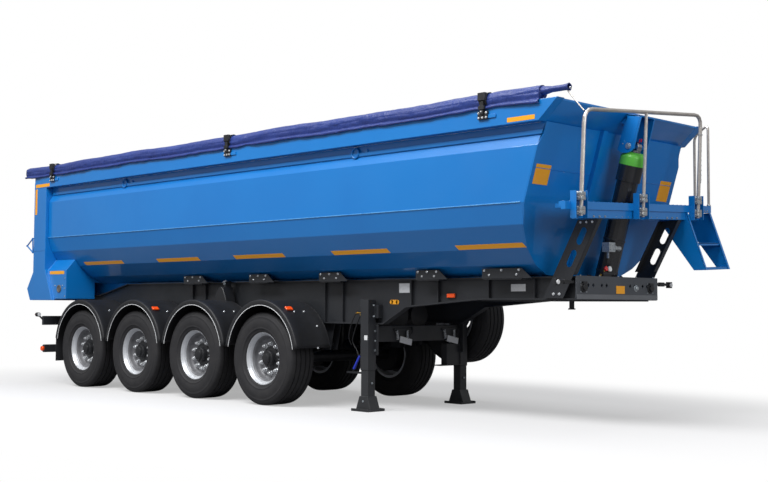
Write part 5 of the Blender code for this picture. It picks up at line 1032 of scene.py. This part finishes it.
def build_air_fittings():
    """Valve knobs, brass couplings and hoses behind the right leg, and the blue handle below them."""
    brass = Shape("brass_couplings", "brass")
    hose = Shape("air_hoses", "hose")
    red = Shape("valve_knobs", "red", bevel=0.002)
    dark = Shape("valve_block_dark", "black", bevel=0.002)
    for x, z in ((1.6, 1.055), (1.665, 1.035), (1.69, 1.075)):
        brass.stub((x, -0.7, z), (0, -0.032, 0), 0.011, 6)
        brass.stub((x, -0.7, z), (0, -0.045, 0), 0.006, 12)
    brass.rod((1.6, -0.715, 1.055), (1.69, -0.715, 1.055), 0.007, 12)
    for x, z in ((1.7, 1.075), (1.72, 1.115)):
        red.stub((x, -0.698, z), (0, -0.024, 0), 0.011)
    for route in HOSE_ROUTES:
        hose.tube(smooth_route(route), 0.006, 10)
    dark.box((1.64, -0.7, 0.985), (1.735, -0.655, 1.11))
    dark.box((1.48, -0.77, 0.395), (1.76, -0.735, 0.415))
    dark.rod((1.56, -0.752, 0.415), (1.69, -0.752, 0.615), 0.007, 12)
    handle = Shape("leg_handle", "handle", bevel=0.003)
    handle.rod((1.578, -0.752, 0.442), (1.672, -0.752, 0.587), 0.014, 18)
    Shape("leg_bare_tag", "white").box((1.8, -0.812, 0.765), (1.85, -0.8104, 0.815))


def build_chock():
    """A dark grey wheel chock in its holder on the right rail."""
    chock = Shape("wheel_chock", "black", bevel=0.008)
    chock.plate([(x - 0.735, z + 1.16) for x, z in CHOCK_LINE], -0.85, -0.7)
    holder = Shape("chock_holder", "dark", bevel=0.002)
    holder.box((-0.75, -0.78, 1.35), (-0.72, -0.69, 1.43))
    holder.box((-0.89, -0.86, 1.148), (-0.58, -0.69, 1.16))
    holder.box((-0.75, -0.7, 1.15), (-0.69, -0.688, 1.36))
    bolt = Shape("chock_bolt", "zinc")
    bolt.rod((-0.765, -0.78, 1.415), (-0.695, -0.78, 1.435), 0.012, 14)
    bolt.bolt((-0.735, -0.78, 1.395), (0, -1, 0), 0.011)


# Hoist

HOIST_ALONG = (HOIST_EYE - HOIST_FOOT).normalized()
HOIST_LENGTH = (HOIST_EYE - HOIST_FOOT).length
CAP_TOP = HOIST_LENGTH - 0.044
SKIRT_LOW = HOIST_LENGTH * 3 / 4
BASE_TOP = HOIST_LENGTH - 0.19
BRACKET_HALF = 0.121
BRACKET_SHEET = 0.014
BRACKET_HEAD_Z = 2.978
VISOR_FOOT = (4.501, 2.81)
VISOR_SLOPE = 1.1263
TAP_KNOB_Y = -0.222
TAP_GAUGE_Y = -0.15
SKIRT_LINE = [
    (0.1125, SKIRT_LOW), (0.116, SKIRT_LOW - 0.001), (0.119, SKIRT_LOW + 0.002), (0.1195, CAP_TOP - 0.146),
    (0.1195, CAP_TOP - 0.136), (0.113, CAP_TOP - 0.131), (0.112, SKIRT_LOW + 0.01),
    (0.1115, SKIRT_LOW + 0.004),
]
CAP_LINE = [
    (0.1125, CAP_TOP - 0.136), (0.1198, CAP_TOP - 0.136), (0.12, CAP_TOP - 0.06), (0.118, CAP_TOP - 0.052),
    (0.104, CAP_TOP - 0.03), (0.09, CAP_TOP - 0.014), (0.078, CAP_TOP - 0.008), (0, CAP_TOP - 0.008),
    (0, CAP_TOP - 0.022),
]
EYE_LINE = [(0.0275, 0), (0.052, 0), (0.055, 0.003), (0.055, 0.067), (0.052, 0.07), (0.0275, 0.07)]


def build_hoist():
    """The cover's skirt with its green cap, the neck with the eye, grease nipples and the pin's end plates."""
    place = aim(HOIST_FOOT, HOIST_ALONG)
    skirt = Shape("hoist_skirt", "cylinder", "hoist_cover", angle=40, stands_for="hoist_cover")
    skirt.turned(SKIRT_LINE, 64, place, closed=True)
    Shape("hoist_cap", "green", "hoist_cover", angle=40).turned(CAP_LINE, 64, place)
    neck = Shape("hoist_neck", "steel", "hoist_cover")
    for low, high, radius in ((0.1, HOIST_LENGTH - 0.03, 0.0395), (CAP_TOP - 0.01, CAP_TOP + 0.012, 0.058)):
        neck.rod(HOIST_FOOT + HOIST_ALONG * low, HOIST_FOOT + HOIST_ALONG * high, radius, 40)
    neck.turned(EYE_LINE, 48, aim(HOIST_EYE - Vector((0, 0.035, 0)), (0, 1, 0)), True)
    nipple = Shape("hoist_grease_nipples", "red", "hoist_cover")
    for dx in (0.03, 0.05):
        nipple.stub(HOIST_EYE + Vector((dx, 0.02, 0.045)), (0.006, 0, 0.03), 0.006, 10)
    pins = Shape("hoist_pin_ends", "zinc", "bed", bevel=0.002)
    for side, _ in SIDES:
        end = (HOIST_EYE.x, side * BRACKET_HALF, HOIST_EYE.z)
        pins.stub(end, (0, side * 0.01, 0), 0.03, 32)
        pins.stub(end, (0, side * 0.018, 0), 0.018, 24)
        pins.bolt((HOIST_EYE.x - 0.06, side * BRACKET_HALF, HOIST_EYE.z + 0.028), (0, side, 0), 0.006)


def build_hoist_bracket():
    """Two narrow cheeks that lean forward from the visor down to the eye, each with a raised front half."""
    shape = Shape("dressed_hoist_bracket", "blue", "bed", bevel=0.003, stands_for="hoist_bracket")
    head = (VISOR_FOOT[0] + VISOR_SLOPE * (BRACKET_HEAD_Z - VISOR_FOOT[1]) + 0.001, BRACKET_HEAD_Z)
    angles = [radians(205 + 130 * step / 8) for step in range(9)]
    foot = [(4.578, 2.642), *[(4.674 + 0.094 * cos(a), 2.664 + 0.058 * sin(a)) for a in angles]]
    raised = [(4.716, 2.7), (4.76, 2.7), (4.838, 2.938), (4.786, 2.95)]
    for side, _ in SIDES:
        half = side * BRACKET_HALF
        shape.plate([*foot, (4.764, 2.636), (4.852, 2.946), head], side * (BRACKET_HALF - BRACKET_SHEET), half)
        shape.plate(raised, half, side * (BRACKET_HALF + 0.004))
        shape.rod((HOIST_EYE.x, side * 0.0365, HOIST_EYE.z), (HOIST_EYE.x, half, HOIST_EYE.z), 0.024, 24)
        shape.stub((4.65, half, 2.712), (0, side * 0.004, 0), 0.018)
    cap = [head, (4.852, 2.946), (4.849, 2.934), (head[0] - 0.012, head[1] - 0.013)]
    spine = [(4.66, 2.88), (4.7, 2.95), (4.688, 2.955), (4.618, 2.905)]
    for outline in (cap, spine):
        shape.plate(outline, -BRACKET_HALF, BRACKET_HALF)


def build_hoist_foot():
    """Collars round the base and the zinc valve block with its pipe."""
    collar = Shape("hoist_collars", "cylinder", "hoist_base", angle=40)
    for low in (0.1, 0.42, BASE_TOP - 0.45):
        line = [(0.1045, low), (0.1085, low + 0.004), (0.1085, low + 0.022), (0.1045, low + 0.026)]
        collar.turned(line, 48, aim(HOIST_FOOT, HOIST_ALONG))
    block = Shape("hoist_valve_block", "zinc", "hoist_base", bevel=0.002)
    block.box((4.478, -0.235, 1.66), (4.56, -0.135, 1.75))
    block.box((4.5, -0.19, 1.6), (4.52, -0.18, 1.665))
    block.rod((4.52, -0.135, 1.7), (4.53, -0.02, 1.7), 0.02)
    block.rod((4.522, -0.105, 1.7), (4.524, -0.085, 1.7), 0.03, 6)
    block.rod((4.526, -0.045, 1.7), (4.53, -0.018, 1.698), 0.027, 6)
    block.bolts([(4.56, y, z) for y in (-0.215, -0.155) for z in (1.68, 1.73)], (1, 0, 0), 0.007)


def build_foot_valve():
    """The tap with its red knob and white gauge on the hoist's cradle."""
    body = Shape("tap_body", "black", bevel=0.003)
    body.box((4.455, -0.245, 1.415), (4.5, -0.12, 1.47))
    body.rod((4.48, -0.25, 1.45), (4.48, -0.105, 1.45), 0.026)
    knob = Shape("tap_knob", "red", bevel=0.003)
    knob.rod((4.5, TAP_KNOB_Y, 1.497), (4.522, TAP_KNOB_Y, 1.502), 0.024, 24)
    gauge = Shape("tap_gauge", "white", bevel=0.003)
    gauge.rod((4.498, TAP_GAUGE_Y, 1.497), (4.514, TAP_GAUGE_Y, 1.5), 0.027, 28)
    stem = Shape("tap_stems", "brass")
    for y in (TAP_KNOB_Y, TAP_GAUGE_Y):
        stem.rod((4.485, y, 1.46), (4.5, y, 1.498), 0.008, 12)
    stem.rod((4.47, -0.275, 1.425), (4.47, -0.25, 1.44), 0.012, 12)


# Platform, rails and ladder

DECK_TOP_Z = 2.12
DECK_FRONT_X = 4.7766
DECK_RISE = 0.045
APRON_X = DECK_FRONT_X - 0.016
APRON_Z = 1.99
POSTS_Y = (-1.06, -0.06, 0.94)
POST_X = 4.8216
POST_LEAN = 0.045
POST_HEIGHT = 0.995
CLAMPS_Z = (2.038, 2.167)
HOOP_Y = 1.2695
TREAD_START_Y = -1.215
TREAD_STEP = 0.075
TREAD_END_Y = 1.245
TREAD_REAR_X = (4.715, 4.485)
CHANNEL_INNER_Y = -0.955
WELL_HALF = 0.2
CHAIN_TOP = Vector((4.846, 0.975, 2.86))
CHAIN_LINKS = 20
STRUT_Y = 0.717
STRUT_SHEET = 0.008
STRUT_FLANGE = 0.062
STRUT_WIDTH = 0.228
STRUT_REF = (4.259, 1.458)
STRUT_LEAN = 0.555
STRUT_FOOT_Z = 1.246
STRUT_SEAT_Z = 1.462
STRUT_TOP_Z = 1.9695
STRUT_SLOTS_Z = (1.614, 1.819)
STRUT_SLOT = (0.034, 0.054)
STRUT_SLOT_X = 0.122
STRUT_BOLTS_Z = 1.945
LADDER_Y = (0.806, 1.284)
LADDER_TOP_Z = 2.049
LADDER_FOOT_Z = 1.466
LADDER_TOP_X = (4.4, DECK_FRONT_X - 0.004)
LADDER_FOOT_X = (4.85, 4.985)
LADDER_SHEET = 0.006
LADDER_LIP = 0.028
LADDER_TREADS_Z = (1.732, 1.486)


def risen(y, z):
    """The height of a level place on the platform, which rises towards its left end."""
    return z + DECK_RISE * y


def leaned(shape):
    """Raises what was drawn level so that it follows the platform's rise."""
    for vert in shape.form.verts:
        vert.co.z += DECK_RISE * vert.co.y


def build_platform_details():
    """Zinc pipe clamps round the posts, rows of bolts and the side hoop's feet."""
    clamps = Shape("post_clamps", "zinc", bevel=0.005, segments=3)
    bolts = Shape("platform_bolts", "zinc")
    for y, level, dz in [(y, level, dz) for y in POSTS_Y for level in CLAMPS_Z for dz in (-0.021, 0.021)]:
        x = POST_X + POST_LEAN * (level - APRON_Z) / POST_HEIGHT
        z = risen(y, level) + dz
        for x0, x1, half in ((-0.034, 0.002, 0.054), (-0.002, 0.0245, 0.034)):
            clamps.box((x + x0, y - half, z - 0.017), (x + x1, y + half, z + 0.017))
        bolts.bolts([(x + 0.002, y + dy, z) for dy in (-0.044, 0.044)], (1, 0, 0), 0.0085)
    rows = (
        (APRON_X, APRON_Z, 0.009, (-0.78, -0.69, -0.6, 0.46, 0.55, 0.64)),
        (APRON_X, APRON_Z, 0.004, [-0.42 + number * 0.1 for number in range(8)]),
        (DECK_FRONT_X, 2.066, 0.008, (1.06, 1.1, 1.15, 1.2)),
    )
    for x, z, size, places in rows:
        bolts.bolts([(x, y, risen(y, z)) for y in places], (1, 0, 0), size)
    for x in (4.6006, 4.7586):
        clamps.rod((x, HOOP_Y, risen(HOOP_Y, 2.1203)), (x, HOOP_Y, risen(HOOP_Y, 2.136)), 0.021)


def build_deck_grating():
    """Raised tread bars across the deck's top, between the post channels and round the hoist's well."""
    bars = Shape("deck_treads", "blue", bevel=0.0012)
    y = TREAD_START_Y
    while y < TREAD_END_Y:
        if abs(y) > WELL_HALF:
            rear, front = TREAD_REAR_X[y >= CHANNEL_INNER_Y], DECK_FRONT_X - 0.012
            along = [(rear, y - 0.006), (front, y - 0.006), (front, y + 0.006), (rear, y + 0.006)]
            bars.prism([(px, py, risen(py, DECK_TOP_Z)) for px, py in along], (0, 0, 0), (0, 0, 0.004))
        y += TREAD_STEP


def build_chain():
    """A short safety chain that hangs beside the left post from a ring near its top."""
    shape = Shape("safety_chain", "zinc")
    ring = [(4.862 + 0.022 * cos(a), 0.94 + 0.022 * sin(a), 2.872) for a in turns(16)]
    shape.tube([*ring, ring[0]], 0.003, 6)
    link = [Vector((0.008 * cos(a), 0, 0.017 * sin(a))) for a in turns(12)]
    for number in range(CHAIN_LINKS):
        middle = CHAIN_TOP - Vector((0.0005 * number, 0, 0.024 * number))
        turn = Matrix.Translation(middle) @ Matrix.Rotation(radians(90 * (number % 2)), 4, "Z")
        shape.tube([turn @ p for p in (*link, link[0])], 0.0027, 6)


def strut_x(z):
    """The rear edge of a strut at a level height."""
    return STRUT_REF[0] + STRUT_LEAN * (z - STRUT_REF[1])


def slot_line(z):
    """A slanting slot in a strut, as (x, z) points."""
    centre = Vector((strut_x(z) + STRUT_SLOT_X, z))
    along = Vector((STRUT_LEAN, 1)).normalized()
    across = Vector((along.y, -along.x))
    points = []
    for end in (1, -1):
        for angle in [pi * step / 8 for step in range(9)]:
            turn = across * cos(angle) + along * sin(angle)
            points.append(centre + end * (along * STRUT_SLOT[1] + turn * STRUT_SLOT[0]))
    return points


def build_struts():
    """Slotted plates outside the rails with flanges turned inwards at both edges, and their bolts."""
    bolts = Shape("strut_bolts", "nut")
    corners = ((STRUT_FOOT_Z, 0), (STRUT_FOOT_Z, STRUT_WIDTH), (STRUT_TOP_Z, STRUT_WIDTH), (STRUT_TOP_Z, 0))
    plate = [(strut_x(z) + dx, z) for z, dx in corners]
    for side, word in SIDES:
        shape = Shape(f"dressed_strut_{word}", "dark", angle=30, stands_for=f"platform_strut_{word}")
        form, face = shape.form, side * STRUT_Y
        edges = []
        for points in (plate, *[slot_line(level) for level in STRUT_SLOTS_Z]):
            verts = [form.verts.new((x, face, z)) for x, z in points]
            edges += [form.edges.new(pair) for pair in zip(verts, [*verts[1:], verts[0]])]
        bmesh.ops.triangle_fill(form, edges=edges, use_beauty=True)
        moved = bmesh.ops.extrude_face_region(form, geom=list(form.faces))["geom"]
        inner = [item for item in moved if isinstance(item, bmesh.types.BMVert)]
        bmesh.ops.translate(form, verts=inner, vec=(0, -side * STRUT_SHEET, 0))
        for near in (STRUT_WIDTH - STRUT_SHEET, 0):
            far = near + STRUT_SHEET
            corners = ((STRUT_SEAT_Z, near), (STRUT_SEAT_Z, far), (STRUT_TOP_Z, far), (STRUT_TOP_Z, near))
            flange = [(strut_x(z) + dx, z) for z, dx in corners]
            shape.plate(flange, face - side * 0.001, face - side * STRUT_FLANGE)
        leaned(shape)
        z = STRUT_BOLTS_Z
        places = [(strut_x(z) + dx, face, risen(face, z)) for dx in (0.045, 0.11, 0.175)]
        bolts.bolts(places, (0, side, 0), 0.009)
        bolts.bolts([(x, face, risen(face, 1.285)) for x in (4.262, 4.33)], (0, side, 0), 0.011)


def ladder_edges(z):
    """Where a stringer's rear and front edges are at a level height."""
    share = (LADDER_TOP_Z - z) / (LADDER_TOP_Z - LADDER_FOOT_Z)
    return [top + (foot - top) * share for top, foot in zip(LADDER_TOP_X, LADDER_FOOT_X)]


def build_ladder():
    """Two tapered stringers with turned front edges and ribbed treads between them."""
    shape = Shape("dressed_ladder", "blue", bevel=0.0012, stands_for="ladder")
    (top_rear, top), (foot_rear, foot) = LADDER_TOP_X, LADDER_FOOT_X
    ends = [(top, LADDER_TOP_Z), (foot, LADDER_FOOT_Z)]
    for face, inward in zip(LADDER_Y, (1, -1)):
        sheet = [(top_rear, LADDER_TOP_Z), *ends, (foot_rear, LADDER_FOOT_Z)]
        shape.plate(sheet, face, face + inward * LADDER_SHEET)
        lip = [(top - LADDER_SHEET, LADDER_TOP_Z), *ends, (foot - LADDER_SHEET, LADDER_FOOT_Z)]
        shape.plate(lip, face, face + inward * LADDER_LIP)
    low, high = LADDER_Y[0] + 0.001, LADDER_Y[1] - 0.001
    for z in LADDER_TREADS_Z:
        rear, front = ladder_edges(z)
        rear, front = rear + 0.02, front - 0.008
        shape.box((rear, low, z - 0.004), (front, high, z + 0.004))
        shape.box((front - 0.006, low, z - 0.02), (front, high, z + 0.004))
        for number in range(4):
            x = rear + 0.01 + (front - rear - 0.02) * number / 3
            shape.box((x - 0.003, low + 0.01, z + 0.0035), (x + 0.003, high - 0.01, z + 0.007))
    leaned(shape)


# Stage

FLOOR_HALF = 150
FLOOR_SEEN = (0.66, 0.66, 0.67, 1)
FLOOR_BOUNCE = (0.22, 0.22, 0.23, 1)
FLOOR_REACH = (9.5, 5.5)
FLOOR_FADE = (0.5, 1.0, 0.4, 1.0)
WORLD_LIGHT = 0.38
WHITE = (1, 1, 1, 1)
# Area lights, as name, place, target, length, width and power
LIGHTS = (
    ("key", (1, -9, 12), (0, -1.2, 2), 14, 5, 2600),
    ("overhead", (0, 1, 12), (0, 0, 0), 12, 4, 400),
    ("front", (13, -2, 5), (4.5, 0, 2), 5, 4, 300),
)


def mixed(tree, share, first, second):
    """A shader that goes from the first to the second by a share."""
    return add_node(tree, "MixShader", {"Fac": share, 1: first, 2: second}).outputs["Shader"]


def build_floor():
    """A floor that keeps the object's shadow near it and goes over to plain white further out."""
    shape = bmesh.new()
    bmesh.ops.create_grid(shape, x_segments=1, y_segments=1, size=FLOOR_HALF)
    mesh = bpy.data.meshes.new("floor")
    shape.to_mesh(mesh)
    shape.free()
    made = placed("floor", mesh)
    material = bpy.data.materials.new("pale_floor")
    material.use_nodes = True
    tree = material.node_tree
    tree.nodes.clear()
    place = add_node(tree, "NewGeometry").outputs["Position"]
    scale = (1 / FLOOR_REACH[0], 1 / FLOOR_REACH[1], 0)
    squeezed = add_node(tree, "Mapping", {"Scale": scale, "Vector": place}).outputs["Vector"]
    away = add_node(tree, "VectorMath", {0: squeezed}, operation="LENGTH").outputs["Value"]
    values = {**ranged(*FLOOR_FADE), "Value": away}
    fade = add_node(tree, "MapRange", values, interpolation_type="SMOOTHSTEP").outputs["Result"]
    shade, bounce = [
        add_node(tree, "BsdfDiffuse", {"Color": colour}).outputs["BSDF"]
        for colour in (FLOOR_SEEN, FLOOR_BOUNCE)
    ]
    glow = add_node(tree, "Emission", {"Strength": 1.0}).outputs["Emission"]
    seen = mixed(tree, fade, shade, glow)
    ray = add_node(tree, "LightPath").outputs["Is Camera Ray"]
    add_node(tree, "OutputMaterial", {"Surface": mixed(tree, ray, bounce, seen)})
    mesh.materials.append(material)


def build_world():
    """Even pale light all round, with a white background for the camera and through glass."""
    world = bpy.data.worlds.new("studio")
    bpy.context.scene.world = world
    world.use_nodes = True
    tree = world.node_tree
    tree.nodes.clear()
    light, back = [
        add_node(tree, "Background", {"Color": WHITE, "Strength": strength}).outputs["Background"]
        for strength in (WORLD_LIGHT, 1.0)
    ]
    path = add_node(tree, "LightPath").outputs
    rays = {0: path["Is Camera Ray"], 1: path["Is Transmission Ray"]}
    either = add_node(tree, "Math", rays, operation="MAXIMUM").outputs["Value"]
    add_node(tree, "OutputWorld", {"Surface": mixed(tree, either, light, back)})


def build_lights():
    for name, place, target, size_x, size_y, energy in LIGHTS:
        light = bpy.data.lights.new(name, "AREA")
        light.shape = "RECTANGLE"
        light.size, light.size_y, light.energy = size_x, size_y, energy
        made = placed(name, light)
        made.location = place
        made.rotation_euler = (Vector(target) - Vector(place)).to_track_quat("-Z", "Y").to_euler()
        made.visible_camera = False


def build_camera():
    camera = bpy.data.cameras.new("photo_view")
    camera.sensor_width = SENSOR_MM
    camera.lens = CAMERA_FOCAL_PIXELS * SENSOR_MM / PHOTO_WIDTH_PIXELS
    camera.clip_end = 500
    made = placed("photo_view", camera)
    turn = Matrix.Rotation(CAMERA_YAW, 4, "Z") @ Matrix.Rotation(radians(90) + CAMERA_PITCH, 4, "X")
    made.matrix_world = Matrix.Translation(CAMERA_PLACE) @ turn @ Matrix.Rotation(CAMERA_ROLL, 4, "Z")
    bpy.context.scene.camera = made


bpy.context.scene.view_settings.view_transform = "Standard"
for build in (
    build_camera, build_world, build_lights, build_floor, dress_nodes, build_wheels, build_mudguards,
    build_tarp, build_tarp_clamps, build_tape, build_bed_details, build_tail_hooks, build_guide_bolts,
    build_marker_lamps, build_rear_lights, build_frame_fittings, build_front_markers, build_landing_details,
    build_air_fittings, build_chock, build_hoist, build_hoist_bracket, build_hoist_foot, build_foot_valve,
    build_platform_details, build_deck_grating, build_chain, build_struts, build_ladder,
):
    build()
    for shape in list(Shape.waiting):
        shape.make()
